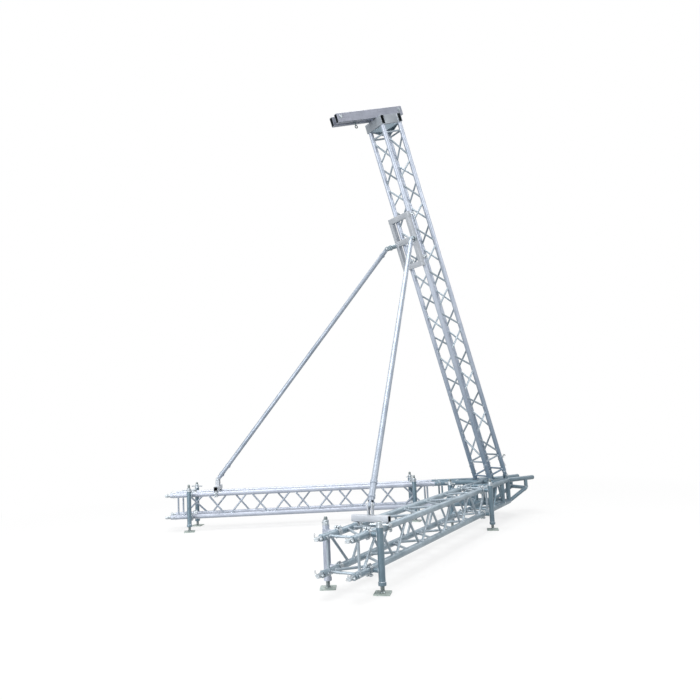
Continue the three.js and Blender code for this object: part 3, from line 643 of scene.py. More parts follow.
def box_shape(size, bevel, segments=2, shift=0.0):
    """A block about the origin with rounded edges."""
    bm = bmesh.new()
    bmesh.ops.create_cube(bm, size=1, matrix=Matrix.Diagonal((*size, 1)))
    bevelled(bm, bm.edges[:], bevel, segments)
    return as_shape(bm, shift)


def wire_shape(points, thickness):
    """A round wire bent through a row of points."""
    curve = bpy.data.curves.new("wire", "CURVE")
    curve.dimensions = "3D"
    curve.bevel_depth = thickness / 2
    curve.bevel_resolution = 1
    curve.use_fill_caps = True
    spline = curve.splines.new("POLY")
    spline.points.add(len(points) - 1)
    for point, place in zip(spline.points, points):
        point.co = (*place, 1)
    bent = bpy.data.objects.new("wire", curve)
    bm = bmesh.new()
    bm.from_mesh(bpy.data.meshes.new_from_object(bent))
    bpy.data.objects.remove(bent)
    return as_shape(bm)


def clip_points():
    """A spring clip in its own plane: one straight leg, an eye, and a leg that hugs the pin."""
    eye, eye_x = 0.007, 0.026
    points = [(-0.020, 0), (0.024, 0)]
    for step in range(11):
        turn = math.radians(-90 + 27 * step)
        points.append((eye_x + eye * math.cos(turn), eye + eye * math.sin(turn)))
    points += [(0.014, 0.0105), (0.008, 0.0100), (0.004, 0.0125)]
    points += [(-0.004, 0.0125), (-0.009, 0.0095), (-0.018, 0.0135)]
    return [(x, y, 0) for x, y in points]


clip_wire = 0.003
spring_clip = wire_shape(clip_points(), clip_wire)
small_nut_across, small_nut_height = 0.019, 0.010
small_nut = hex_shape(small_nut_across, small_nut_height)
print("clip faces", len(spring_clip.polygons))

# %% [markdown]
# ## Spigots and cross pins
# Two chord ends are joined by a double-ended conical spigot with a tapered pin through each half. The
# pins are knocked in from one side, so each has a domed head there and a spring clip through its small
# end.

# %% Spigots
spigot_radius = 0.018
spigot_tip_radius = 0.0155
spigot_half_length = 0.062
cross_pin_radius = 0.007
cross_pin_inset = 0.036
cross_pin_overhang = 0.009
cross_pin_taper, cross_pin_head = 0.0012, 0.005
clip_standoff = 0.0055
y_axis = Vector((0, 1, 0))


def spigot_shape():
    """Two tapers that meet at a shallow groove, with a chamfer at each tip."""
    groove_half, tip_chamfer, tip = 0.004, 0.002, spigot_half_length
    half = [(0, tip), (spigot_tip_radius - tip_chamfer, tip), (spigot_tip_radius, tip - tip_chamfer)]
    half += [(spigot_radius, groove_half), (spigot_radius - lip, groove_half / 2)]
    return turned(mirrored(half), 28)


def cross_pin_shape():
    reach = chord_radius + cross_pin_overhang
    small, head = cross_pin_radius - cross_pin_taper, reach - cross_pin_head
    shank = [(0, -reach), (small - lip, -reach), (small, lip - reach), (cross_pin_radius, head)]
    dome = [(cross_pin_radius + 1.5 * lip, head + lip), (cross_pin_radius + lip, reach - lip)]
    return turned([*shank, *dome, (cross_pin_radius - 2 * lip, reach), (0, reach)], 18)


spigot_mesh, cross_pin_mesh = spigot_shape(), cross_pin_shape()


def cross_pin(piece, centre, way, clip_turn):
    """A pin along y with its head toward way, and a clip through its other end."""
    stamp(piece, cross_pin_mesh, facing(y_axis * way, centre))
    clip_place = centre - y_axis * way * (chord_radius + clip_standoff)
    stamp(piece, spring_clip, at(*clip_place) @ quarter_x @ rotation(clip_turn, "Z"))


def joint_spigot(name, body, index, place, way):
    piece = new_piece()
    centre = corner(index, -running_gap / 2)
    stamp(piece, spigot_mesh, facing(x_axis, centre))
    for step, inset in enumerate((-cross_pin_inset, cross_pin_inset)):
        cross_pin(piece, centre + x_axis * inset, way, 0.5 + 1.3 * step + index)
    finish_piece(piece, name + "_with_pins", body, zinc_plate, "zinc", place, [name])


for side in signs:
    for index in range(4):
        joint_spigot(f"{side}_leg_spigot_{index + 1}", "base", index, leg_frame(side), signs[side])
    piece = new_piece()
    for index in range(4):
        centre = corner(index, leg_length)
        stamp(piece, spigot_mesh, facing(x_axis, centre))
        cross_pin(piece, centre - x_axis * cross_pin_inset, signs[side], -1.2 - 0.5 * index)
        cross_pin(piece, centre + x_axis * cross_pin_inset, signs[side], 1.1 + 0.4 * index)
    finish_piece(piece, side + "_leg_end_spigots", "base", zinc_plate, "zinc", leg_frame(side))
for index in range(4):
    joint_spigot(f"mast_spigot_{index + 1}", "mast", index, mast_frame @ mast_axis, -1)

# %% [markdown]
# One pin of the mast carries a bent handle. With the mast laid all the way down, this handle runs into the
# frame of the base block.

# %% The bent handle of one mast pin
rear_right_chord, handle_thickness = 3, 0.012
handle_points = [(0, -0.004, 0), (0.008, 0.010, 0), (0.019, 0.022, 0), (0.021, 0.036, 0), (0.006, 0.048, 0)]
handle = new_piece()
handle_start = corner(rear_right_chord, cross_pin_inset) + y_axis * (chord_radius + cross_pin_overhang)
stamp(handle, wire_shape(handle_points, handle_thickness), at(*handle_start))
finish_piece(handle, "mast_pin_handle", "mast", dark_steel, "steel", mast_frame @ mast_axis)

# %% [markdown]
# ## Half couplers
# A half coupler is a hinged steel band. One half is fixed to what it carries, the other swings over the
# tube, and an eye bolt pulls them together, with a wing nut on some and a plain nut on the others. Each
# half is an arc that is spun part of the way round, with its open ends filled.

# %% Half coupler
coupler_bore = chord_radius + running_gap
coupler_radius = 0.0313
coupler_length = 0.046
barrel_radius, barrel_rise, hinge_pin_radius = 0.0062, 0.0028, 0.003
lug_size, lug_edge, lug_spread, lug_drop = (0.030, 0.009, 0.019), 0.0025, 0.0085, 0.0055
eye_bolt_length, eye_bolt_radius, bolt_drop = 0.052, 0.0042, 0.008
trunnion_length, trunnion_radius, trunnion_y = 0.024, 0.0075, 0.017
nut_y = -0.0135


def band_half(start_turn, end_turn):
    """Part of a band about x, from one angle to another, measured from y toward z."""
    bm = bmesh.new()
    edge = coupler_length / 2
    outline = mirrored([(coupler_bore, edge), (coupler_radius - lip, edge), (coupler_radius, edge - lip)])
    start = Matrix.Rotation(start_turn, 3, "X")
    verts = [bm.verts.new(start @ Vector((x, radius, 0))) for radius, x in outline]
    bm.faces.new(verts)
    turn = {"axis": x_axis, "cent": (0, 0, 0), "angle": end_turn - start_turn, "steps": 16}
    bmesh.ops.spin(bm, geom=bm.faces[:] + bm.verts[:] + bm.edges[:], **turn)
    return as_shape(bm)


def wing_nut_shape():
    """A tapered hub with two wings that lean outward."""
    bm = bmesh.new()
    bore, foot, top, height = 0.0045, 0.010, 0.0075, 0.012
    bm.from_mesh(turned([(bore, 0), (foot, 0), (top, height), (bore, height)], 16, closed=True))
    wing_size, wing_edge, spread, lean = (0.016, 0.0035, 0.017), 0.0016, 0.0135, 0.45
    for way in (-1, 1):
        place = at(way * spread, 0, height + lip / 2) @ rotation(way * lean, "Y")
        stamp(bm, box_shape(wing_size, wing_edge), place)
    return as_shape(bm)


def coupler_shape(wings=True):
    """A half coupler round x. Its fixed half faces +y, with the hinge above and the bolt below."""
    piece = new_piece()
    gap, quarter = math.radians(7), math.pi / 2
    stamp(piece, band_half(gap - quarter, quarter - gap))
    stamp(piece, band_half(quarter + gap, 3 * quarter - gap))
    barrel_end = coupler_length / 2 - 2 * lip
    hinge_end = coupler_length / 2 + 3 * lip
    hinge_z, bolt_z = coupler_radius + barrel_rise, -coupler_radius - bolt_drop
    stamp(piece, rod(2 * barrel_end, barrel_radius, lip, 16), facing(x_axis, (-barrel_end, 0, hinge_z)))
    hinge_pin = rod(2 * hinge_end, hinge_pin_radius, fine_edge, 10)
    stamp(piece, hinge_pin, facing(x_axis, (-hinge_end, 0, hinge_z)))
    lug = box_shape(lug_size, lug_edge)
    for y in (-lug_spread, lug_spread):
        stamp(piece, lug, at(0, y, -coupler_radius - lug_drop))
    bolt = rod(eye_bolt_length, eye_bolt_radius, fine_edge, 12)
    stamp(piece, bolt, facing(-y_axis, (0, trunnion_y + lip, bolt_z)))
    trunnion = rod(trunnion_length, trunnion_radius, lip, 14)
    stamp(piece, trunnion, facing(x_axis, (-trunnion_length / 2, trunnion_y, bolt_z)))
    nut = wing_nut_shape() if wings else small_nut
    stamp(piece, nut, facing(-y_axis, (0, nut_y, bolt_z)))
    return as_shape(piece)


wing_coupler = coupler_shape()
nut_coupler = coupler_shape(wings=False)
print("coupler faces", len(wing_coupler.polygons))

# %% [markdown]
# ## Screw jacks
# A jack is a tube with two arms that end in half couplers. A trapezoidal screw runs right through it,
# with a plate at its foot and a head nut with a T-bar on top. The thread is a small profile that is spun
# and lifted at the same time, so it winds up the core as the real one does.

# %% Jack sizes
jack_outer_inset = 0.226
jack_inner_inset = 0.243
jack_offset = 0.095
jack_radius = 0.024
jack_tube_low, jack_tube_high = 0.080, 0.440
bush_length, bush_radius = 0.025, 0.0285
arm_radius = 0.017
screw_radius = 0.015
thread_pitch, thread_depth = 0.006, 0.0032
root_share, crest_share, thread_steps = 0.36, 0.17, 20
plate_width, plate_thickness, plate_corner, plate_edge = 0.114, 0.010, 0.006, 0.0012
nut_low, nut_high = 0.4403, 0.4783
chord_heights = (leg_height - half_spacing, leg_height + half_spacing)
tip_heights = (0.484, 0.500, 0.512, 0.505, 0.505, 0.519, 0.514, 0.511)
foot_turns = (17, 27, 20, 38, -17, 8, 15, -20)
handle_turns = (90, 35, 20, 65, -25, 10, 50, 80)
jack_places = (
    ("front_outside", leg_length - jack_outer_inset, 1),
    ("front_inside", leg_length - jack_outer_inset, -1),
    ("rear_outside", jack_inner_inset, 1),
    ("rear_inside", jack_inner_inset, -1),
)


def jack_frame(side, x, face):
    local = at(x, face * (half_spacing + jack_offset), -leg_height)
    turn = rotation(0 if face > 0 else math.pi, "Z")
    return leg_frame(side) @ local @ turn


print("jacks", 2 * len(jack_places))


# %% Jack screw
def thread_shape(low, high):
    """One turn of the ridge, stacked until it is long enough, then closed at both ends."""
    one_turn = bmesh.new()
    root = (screw_radius - thread_depth, thread_pitch * root_share)
    outline = mirrored([root, (screw_radius, thread_pitch * crest_share)])
    verts = [one_turn.verts.new((radius, 0, low + height)) for radius, height in outline]
    edges = [one_turn.edges.new(pair) for pair in zip(verts, verts[1:] + verts[:1])]
    turn = {"axis": up, "cent": (0, 0, 0), "angle": math.tau, "steps": thread_steps}
    bmesh.ops.spin(one_turn, geom=verts + edges, dvec=up * (thread_pitch / thread_steps), **turn)
    ridge = bpy.data.meshes.new("ridge")
    one_turn.to_mesh(ridge)
    one_turn.free()
    bm = bmesh.new()
    for count in range(int((high - low) / thread_pitch)):
        stamp(bm, ridge, at(0, 0, count * thread_pitch))
    bmesh.ops.remove_doubles(bm, verts=bm.verts, dist=1e-5)
    bmesh.ops.holes_fill(bm, edges=[edge for edge in bm.edges if edge.is_boundary], sides=6)
    return as_shape(bm)


def foot_plate_shape():
    bm = bmesh.new()
    size = Matrix.Diagonal((plate_width, plate_width, plate_thickness, 1))
    bmesh.ops.create_cube(bm, size=1, matrix=at(0, 0, plate_thickness / 2) @ size)
    bevelled(bm, [edge for edge in bm.edges if rise(edge) > lip], plate_corner, 3)
    rim = [edge for edge in bm.edges if min(vert.co.z for vert in edge.verts) > plate_thickness - 1e-5]
    bevelled(bm, rim, plate_edge, 2)
    return as_shape(bm)


core_radius = screw_radius - 0.003


def screw_piece(tip):
    """The thread on its core, with a collar at the foot and a plain tip."""
    piece, foot, chamfer = new_piece(), plate_thickness, 0.003
    thread_low, thread_high, start = foot + 0.014, tip - 0.008, 0.004
    body = [(0, start), (core_radius, start), (core_radius, thread_low), (core_radius, tip - chamfer)]
    stamp(piece, turned([*body, (core_radius - chamfer, tip), (0, tip)], 20))
    wide, narrow, waist, neck = 0.021, 0.0165, foot + 0.008, foot + 0.012
    stamp(piece, turned([(0, foot - lip), (wide, foot - lip), (narrow, waist), (core_radius, neck)], 24))
    stamp(piece, thread_shape(thread_low, thread_high))
    return piece


# %% Jack head nut
nut_bore = screw_radius + 0.0012
hub_radius, flange_radius, flange_height = 0.0225, 0.025, 0.006
handle_reach, handle_radius = 0.073, 0.006
knob_length, knob_radius = 0.012, 0.0082


def head_nut_shape():
    """The nut's flange, its round hub and the bore that the screw runs in."""
    height, chamfer, slope = nut_high - nut_low, 0.003, flange_radius - hub_radius
    wide = flange_radius
    flange = [(nut_bore, 0), (wide - lip / 2, 0), (wide, lip), (wide, flange_height)]
    hub = [(hub_radius, flange_height + slope), (hub_radius, height - chamfer)]
    return turned([*flange, *hub, (hub_radius - chamfer, height), (nut_bore, height)], 28, closed=True)


def handle_shape():
    """Half of the T-bar: it starts in the nut and ends in a turned knob."""
    radius, reach, start = handle_radius, handle_reach, screw_radius + 2 * lip
    bar = [(0, start), (radius, start), (radius, reach - knob_length)]
    knob = [(knob_radius, reach - knob_length + 2 * lip), (knob_radius, reach - 3 * lip)]
    return turned([*bar, *knob, (radius, reach), (0, reach)], 18)


head_nut, handle_half = head_nut_shape(), handle_shape()
grub_screw = hex_shape(0.010, 0.006, 0.0008)


def jack_head(turn):
    piece = new_piece()
    stamp(piece, head_nut, at(0, 0, nut_low))
    middle = (nut_low + nut_high) / 2
    for half_turn in (0, 180):
        angle = math.radians(turn + half_turn)
        stamp(piece, handle_half, facing((math.cos(angle), math.sin(angle), 0), (0, 0, middle)))
    angle = math.radians(turn + 90)
    side_way = Vector((math.cos(angle), math.sin(angle), 0))
    stamp(piece, grub_screw, facing(side_way, side_way * (hub_radius - lip) + up * middle))
    return piece


# %% Jack tube with its arms and couplers
rib_section, rib_inset = (0.0035, 0.0045), 0.025


def jack_tube_shape(ribbed):
    """The tube, the wider bush under it and a collar at its top."""
    low, high = jack_tube_low, jack_tube_high
    foot, bore = low - bush_length, screw_radius + running_gap
    chamfer, outer, collar_low = 0.002, jack_radius + 0.002, high - 0.016
    body = [(bore, low - lip), (jack_radius, low - lip), (jack_radius, high - lip)]
    body += [(jack_radius - lip, high), (bore, high)]
    bush = [(bore, foot), (bush_radius - chamfer, foot), (bush_radius, foot + chamfer)]
    bush += [(bush_radius, low - chamfer), (bush_radius - chamfer, low), (bore, low)]
    collar = [(jack_radius - lip, collar_low), (outer, collar_low + lip), (outer, high - lip)]
    piece = new_piece()
    for profile in (body, bush, [*collar, (jack_radius - lip, high)]):
        stamp(piece, turned(profile, 32, closed=True))
    if ribbed:
        rib = box_shape((*rib_section, high - low - 2 * rib_inset), fine_edge, 1)
        for step in range(16):
            turn = rotation(math.tau * step / 16, "Z")
            stamp(piece, rib, turn @ at(jack_radius + fine_edge, 0, (high + low) / 2))
    return piece


def add_arms(tubes, beads):
    saddles = (up, jack_radius - lip), (x_axis, coupler_bore + 2 * lip)
    for height in chord_heights:
        start, end = up * height, Vector((0, -jack_offset, height))
        coped_tube(tubes, start, end, arm_radius, saddles, 20)
        weld_at(beads, start, end, arm_radius, (up, jack_radius), arm_bead)
        weld_at(beads, end, start, arm_radius, (x_axis, coupler_radius), arm_bead)
    stamp(beads, seam(jack_radius, 30), at(0, 0, jack_tube_low))


def add_jack(side, place, x, face, index):
    name = f"{side}_{place}_jack"
    spot = jack_frame(side, x, signs[side] * face)
    ribbed = name == "right_front_inside_jack"
    tubes, beads, clamps, plate = jack_tube_shape(ribbed), new_piece(), new_piece(), new_piece()
    add_arms(tubes, beads)
    for step, height in enumerate(chord_heights):
        coupler = wing_coupler if (index + step) % 2 else nut_coupler
        stamp(clamps, coupler, at(0, -jack_offset, height) @ rotation(math.pi * step, "Y"))
    stamp(plate, foot_plate_shape(), rotation(math.radians(foot_turns[index]), "Z"))
    screw, head = screw_piece(tip_heights[index]), jack_head(handle_turns[index])
    tube_finish = drawn_tube if ribbed else dull_tube
    body = (tubes, "body", tube_finish, "tube", name + "_tube")
    welds, couplers = (beads, "welds", weld_metal, "tube"), (clamps, "couplers", zinc_plate, "zinc")
    finish_parts(name, "base", spot, body, welds, couplers)
    spindle = (screw, "spindle", dark_zinc, "zinc", name + "_screw")
    finish_parts(name, name + "_screw", spot, spindle, (plate, "foot_plate", galvanised, "zinc"))
    finish_parts(name, name + "_head", spot, (head, "handle", zinc_plate, "zinc", name + "_head"))


arm_bead = 0.0032
thread_tones = (0.16, 0.20, 0.21), (0.34, 0.38, 0.38)
dark_zinc = speckled_metal("worn_zinc_screw", *thread_tones, 0.65, 0.32, 300, 0.00008)
for side in signs:
    for number, (place, x, face) in enumerate(jack_places):
        add_jack(side, place, x, face, number + (0 if side == "right" else 4))

# %% [markdown]
# ## Base block
# The block where both legs, the mast and the nose meet is one welded frame. Its corners are mitred and
# ground round, so each corner here is a ball that the tubes run into. Thin braces are coped and welded as
# on a truss.

# %% Base block lines
low, high = chord_heights
side_post_inset = 0.235
nose_length = 0.410
nose_strut_inset = 0.122
nose_strut_drop = 0.110
nose_radius = 0.021
hinge_height = 0.061
ear_width, ear_thickness, ear_spread, ear_edge = 0.040, 0.010, 0.0153, 0.0012
frame_bead = 0.003


def inner_line(side, distance, height):
    return outer_line(side, distance, height) - across_leg(side) * (2 * half_spacing)


inner_start = (half_spacing - 2 * half_spacing * math.cos(leg_splay)) / -math.sin(leg_splay)
apex = inner_line("right", inner_start, 0).y
nose_end = rear_y + nose_length
strut_y = nose_end - nose_strut_inset


def ball(piece, point, radius):
    bm = bmesh.new()
    bmesh.ops.create_uvsphere(bm, u_segments=24, v_segments=12, radius=radius)
    stamp(piece, as_shape(bm), at(*point))


def plain_tube(piece, start, end, radius, shift=0.0):
    lay(piece, rod((end - start).length, radius, fine_edge, 28, shift), start, end)


def side_tubes(tubes, beads, side):
    """The four main tubes of one side, with open ends for the spigots of the leg."""
    for number, height in enumerate(chord_heights):
        for line, first in ((outer_line, 0), (inner_line, inner_start)):
            start, end = line(side, first, height), line(side, base_side_length, height)
            along = end - start
            lay(tubes, socket_tube(along.length, number * 0.2), start, end)
            ball(tubes, start, chord_radius)
            stamp(beads, socket_ring, facing(along, end - along.normalized() * socket_seam))


def side_lines(side):
    """Start and end of each thin brace of one side."""
    frame_at = base_side_length - end_frame_inset
    first = base_side_length - first_node_inset
    second = (first + side_post_inset) / 2
    inner_end = inner_start + brace_gap
    for height in chord_heights:
        yield outer_line(side, frame_at, height), inner_line(side, frame_at, height)
        yield outer_line(side, second, height), inner_line(side, first, height)
    for line in (outer_line, inner_line):
        yield line(side, frame_at, low), line(side, frame_at, high)
    yield outer_line(side, first, low), outer_line(side, second + brace_gap / 2, high)
    yield outer_line(side, second - brace_gap / 2, high), outer_line(side, side_post_inset, low)
    yield inner_line(side, first, low), inner_line(side, inner_end, high)


def post_lines():
    """Uprights, cross tubes and the two short rails under the mast: start, end and radius."""
    apex_low, apex_high, rear_low = (apex, low), (apex, high), (rear_y, low)
    strut_high, strut_low = (strut_y, high), (strut_y, high - nose_strut_drop)
    pairs = (apex_low, rear_low), (apex_low, apex_high), (strut_high, strut_low), (strut_low, rear_low)
    for side, sign in signs.items():
        for distance in (side_post_inset, 0):
            yield outer_line(side, distance, low), outer_line(side, distance, high), chord_radius
        for first, last in pairs:
            yield Vector((sign * half_spacing, *first)), Vector((sign * half_spacing, *last)), nose_radius
    yield Vector((0, *apex_low)), Vector((0, *apex_high)), nose_radius
    yield Vector((-half_spacing, *strut_low)), Vector((half_spacing, *strut_low)), nose_radius


print("apex at", round(apex, 4), "nose ends at", round(nose_end, 4))


# %% Base block
def across_lines():
    cross_reach = half_spacing + (rear_y - apex) / math.cos(leg_splay) * math.sin(leg_splay)
    for height in chord_heights:
        yield Vector((-half_spacing, rear_y, height)), Vector((half_spacing, rear_y, height))
        yield Vector((-cross_reach, apex, height)), Vector((cross_reach, apex, height))


def nose_rail(tubes, sign):
    """A top rail: it starts over the V's apex and ends in a welded cap."""
    start = Vector((sign * half_spacing, apex, high))
    length = nose_end - apex
    shoulder, crown = 0.004, 0.0015
    cap = [(chord_radius - crown, length - crown), (chord_radius - shoulder, length), (0, length)]
    profile = [(0, 0), (chord_radius, 0), (chord_radius, length - shoulder), *cap]
    lay(tubes, turned(profile, 32, sign * 0.4), start, start + y_axis)


def thicken(bm, thickness):
    """Gives a flat face that thickness along y."""
    lifted = bmesh.ops.extrude_face_region(bm, geom=bm.faces[:] + bm.edges[:])
    raised = [item for item in lifted["geom"] if isinstance(item, bmesh.types.BMVert)]
    bmesh.ops.translate(bm, verts=raised, vec=(0, thickness, 0))


def round_ended_plate(drop, width, thickness, steps=20, chamfer=lip):
    """A plate with a round end about the origin: x across it, y through it, and its foot below."""
    bm = bmesh.new()
    first = bm.verts.new((width / 2, -thickness / 2, 0))
    bmesh.ops.spin(bm, geom=[first], axis=y_axis, cent=(0, 0, 0), angle=-math.pi, steps=steps)
    bm.verts.ensure_lookup_table()
    ends = [bm.verts[0], bm.verts[-1]]
    feet = [bm.verts.new((end.co.x, end.co.y, -drop)) for end in ends]
    for pair in ((ends[0], feet[0]), (feet[0], feet[1]), (feet[1], ends[1])):
        bm.edges.new(pair)
    bmesh.ops.contextual_create(bm, geom=bm.edges[:])
    thicken(bm, thickness)
    bevelled(bm, [edge for edge in bm.edges if rise(edge, 1) < 1e-6], chamfer)
    return as_shape(bm)


def base_block():
    tubes, beads = new_piece(), new_piece()
    for side, sign in signs.items():
        side_tubes(tubes, beads, side)
        nose_rail(tubes, sign)
        for count, (start, end) in enumerate(side_lines(side)):
            welded_brace(tubes, beads, start, end, along_leg(side), count * 0.17)
    for start, end in across_lines():
        plain_tube(tubes, start, end, chord_radius)
    for count, (start, end, radius) in enumerate(post_lines()):
        plain_tube(tubes, start, end, radius, count * 0.23)
        for here, there in ((start, end), (end, start)):
            flat = y_axis if abs((end - start).normalized().z) > 0.9 else up
            wide = chord_radius if abs(here.z - there.z) > 0.2 else radius
            weld_at(beads, here, there, radius, (flat, wide), frame_bead)
            ball(tubes, here, radius)
    ear = round_ended_plate(hinge_height, ear_width, ear_thickness, 16, ear_edge)
    foot_y, reach = (ear_width + frame_bead) / 2, ear_thickness / 2 + lip
    for sign in signs.values():
        for way in (-1, 1):
            centre = Vector((sign * half_spacing + way * ear_spread, hinge.y, hinge.z))
            stamp(tubes, ear, at(*centre) @ quarter_z)
            for y in (-foot_y, foot_y):
                foot = Vector((centre.x - reach, centre.y + y, high + chord_radius + lip))
                plain_tube(beads, foot, foot + x_axis * (2 * reach), frame_bead)
    frame_part = (tubes, "frame", dull_tube, "tube", "base_block")
    finish_parts("base_block", "base", level, frame_part, (beads, "welds", weld_metal, "tube"))


base_block()

# %% [markdown]
# ## Foot of the mast
# The mast stands on a short section of its own. Its two rear chords end in tongues that turn on the hinge
# pins, and its two front chords stand on pads. Each pin is wide at both ends, with a nut on the outer one.


# %% Mast foot and hinge pins
pad_width, pad_thickness, rear_chord_start = 0.064, 0.008, 0.048
end_nut_across, end_nut_height, end_nut_x = 0.018, 0.004, 0.0275


def mast_foot():
    tubes, beads = new_piece(), new_piece()
    floor_slope = math.tan(mast_lean)
    front_floor = (hinge_height - chord_radius - running_gap) / math.cos(mast_lean)
    pad_top = 2 * half_spacing * floor_slope - front_floor + pad_thickness / math.cos(mast_lean)
    top = mast_foot_length - running_gap
    front_y = -2 * half_spacing
    spots = [(half_spacing, front_y), (half_spacing, 0), (-half_spacing, 0), (-half_spacing, front_y)]
    for number, (x, y) in enumerate(spots):
        bottom = rear_chord_start if y == 0 else pad_top - pad_thickness / 2
        lay(tubes, socket_tube(top - bottom, number * 0.3), Vector((x, y, bottom)), Vector((x, y, top)))
        stamp(beads, seam(chord_radius, 36), at(x, y, bottom + frame_bead))
    ring_height = mast_foot_length - end_frame_inset
    for number, (x, y) in enumerate(spots):
        next_x, next_y = spots[(number + 1) % 4]
        start, end = Vector((x, y, ring_height)), Vector((next_x, next_y, ring_height))
        welded_brace(tubes, beads, start, end, up)
    thick, wide, tall, chamfer = 0.020, ear_width, 0.053, 0.0015
    tongue, round_end = box_shape((thick, wide, tall), chamfer), rod(thick, wide / 2, chamfer, 32)
    pad = box_shape((pad_width, pad_width, pad_thickness), chamfer)
    for x in (-half_spacing, half_spacing):
        stamp(tubes, tongue, at(x, 0, tall / 2))
        stamp(tubes, round_end, facing(x_axis, (x - thick / 2, 0, 0)))
        tilt = rotation(-mast_lean, "X") @ at(0, 0, -pad_thickness / 2)
        stamp(tubes, pad, at(x, front_y, pad_top) @ tilt)
    section = (tubes, "section", mast_tube, "tube", "mast_foot")
    finish_parts("mast_foot", "mast", mast_frame, section, (beads, "welds", weld_metal, "tube"))


def hinge_pin_shape():
    reach, head_height, chamfer = 0.0206, 0.008, 0.0015
    head, shank, end = 0.015, 0.010, reach + head_height
    half = [(0, end), (head - chamfer, end), (head, end - chamfer), (head, reach), (shank, reach)]
    return turned(mirrored(half), 28)


mast_foot()
for side, sign in signs.items():
    piece = new_piece()
    centre = Vector((sign * half_spacing, hinge.y, hinge.z))
    stamp(piece, hinge_pin_shape(), facing(x_axis, centre))
    end_nut = hex_shape(end_nut_across, end_nut_height)
    stamp(piece, end_nut, facing(x_axis * sign, centre + x_axis * sign * end_nut_x))
    name = side + "_hinge_pin"
    finish_piece(piece, name + "_and_nuts", "base", zinc_plate, "zinc", level, [name])

# %% [markdown]
# ## Hollow beams
# The head, the long beams and the brackets are rectangular hollow section. Its outside corners are
# rounded, and its open ends show the wall. Here a box has its long edges rounded, its ends inset by the
# wall, and the two inset faces are joined by a bridge, which leaves a true hole from end to end. The
# bridge's faces get the second material of the piece, a near-black painted shade for the inside of the
# beam.


# %% Hollow section
corner_radius, beam_edge = 0.006, 0.003
ripple_length = 0.005


def hollow_section(width, length, height, wall=0.005, rounding=corner_radius, shift=0.0):
    """A hollow beam about the origin along y. Its grain runs along z, so the beam is turned last."""
    bm = bmesh.new()
    bmesh.ops.create_cube(bm, size=1, matrix=Matrix.Diagonal((width, height, length, 1)))
    bevelled(bm, [edge for edge in bm.edges if rise(edge) > length / 2], rounding, 4)
    ends = [face for face in bm.faces if abs(face.normal.z) > 0.9]
    bmesh.ops.inset_individual(bm, faces=ends, thickness=wall, use_even_offset=True)
    rims = [edge for face in ends for edge in face.edges]
    bmesh.ops.delete(bm, geom=ends, context="FACES_ONLY")
    # The bridge's faces take the second material, the painted shade inside the beam.
    for face in bmesh.ops.bridge_loops(bm, edges=rims)["faces"]:
        face.material_index = 1
    mesh = as_shape(bm, shift)
    mesh.transform(rotation(-math.pi / 2, "X"))
    return mesh


def weld_line(piece, start, end, bead=0.003):
    """A straight run of weld, with a ripple every few millimetres."""
    length = (end - start).length
    count = max(4, round(length / ripple_length))
    profile = [(0, 0)]
    for step in range(count + 1):
        profile.append((bead * (1.0 if step % 2 else 0.78), length * step / count))
    lay(piece, turned([*profile, (0, length)], 7), start, end)


print("section ready")

# %% [markdown]
# ## Head of the mast
# Two cross beams and two side members form a square on the chord tops, with four gussets below. The long
# beams lie on them with a slot between, held by two through bolts, and the hoist hangs in the slot.

# %% Head frame
head_low = mast_foot_length + mast_length + running_gap
beam_height, beam_width = 0.100, 0.050
cross_length, member_x = 0.300, 0.115
gusset_weld_y, gusset_weld_ends, small_bead = 0.006, (0.004, 0.186), 0.0026
head_middle = head_low + beam_height / 2
long_middle = head_low + beam_height + running_gap + beam_height / 2
back, front = 0.0, -2 * half_spacing


def gusset_shape():
    """A triangle of plate, drawn in its own x and z, deep at one end."""
    bm = bmesh.new()
    span = 2 * (half_spacing - chord_radius)
    thickness, depth, nose, thin, let_up = 0.010, 0.068, 0.006, 0.004, 0.003
    outline = [(0, let_up), (0, -depth), (nose, -depth), (span, -thin), (span, let_up)]
    verts = [bm.verts.new((x, -thickness / 2, z)) for x, z in outline]
    bm.faces.new(verts)
    thicken(bm, thickness)
    bevelled(bm, bm.edges[:], lip)
    return as_shape(bm)


def head_frame():
    beams, plates, beads = new_piece(), new_piece(), new_piece()
    cross = hollow_section(beam_width, cross_length, beam_height)
    quarter = quarter_z
    for y in (back, front):
        stamp(beams, cross, at(0, y, head_middle) @ quarter)
    member_length = 2 * (half_spacing + 2 * lip) - beam_width
    member = box_shape((beam_width, member_length, beam_height), beam_edge, 2, 0.4)
    weld_y = beam_width / 2 + lip
    for sign in (-1, 1):
        x = sign * member_x
        stamp(beams, member, at(x, -half_spacing, head_middle))
        for y in (back - weld_y, front + weld_y):
            for edge in (-beam_width / 2, beam_width / 2):
                foot = Vector((x + edge, y, head_low))
                weld_line(beads, foot + up * corner_radius, foot + up * (beam_height - corner_radius))
    gusset = gusset_shape()
    inset = chord_radius + running_gap
    for turn, origin in (
        (math.pi, (half_spacing - inset, front, head_low)),
        (math.pi / 2, (half_spacing, front + inset, head_low)),
        (0, (inset - half_spacing, back, head_low)),
        (-math.pi / 2, (-half_spacing, -inset, head_low)),
    ):
        place = at(*origin) @ rotation(turn, "Z")
        stamp(plates, gusset, place)
        for y in (-gusset_weld_y, gusset_weld_y):
            weld_line(beads, *[place @ Vector((x, y, -lip)) for x in gusset_weld_ends], small_bead)
    square = (beams, "beams", cross_beam, "beam", "head_frame")
    # The gussets take the darker copy of the aluminium as painted shade.
    gussets, welds = (plates, "gussets", shaded_aluminium, "beam"), (beads, "welds", weld_metal, "beam")
    finish_parts("head_frame", "mast", mast_frame, square, gussets, welds)


head_frame()

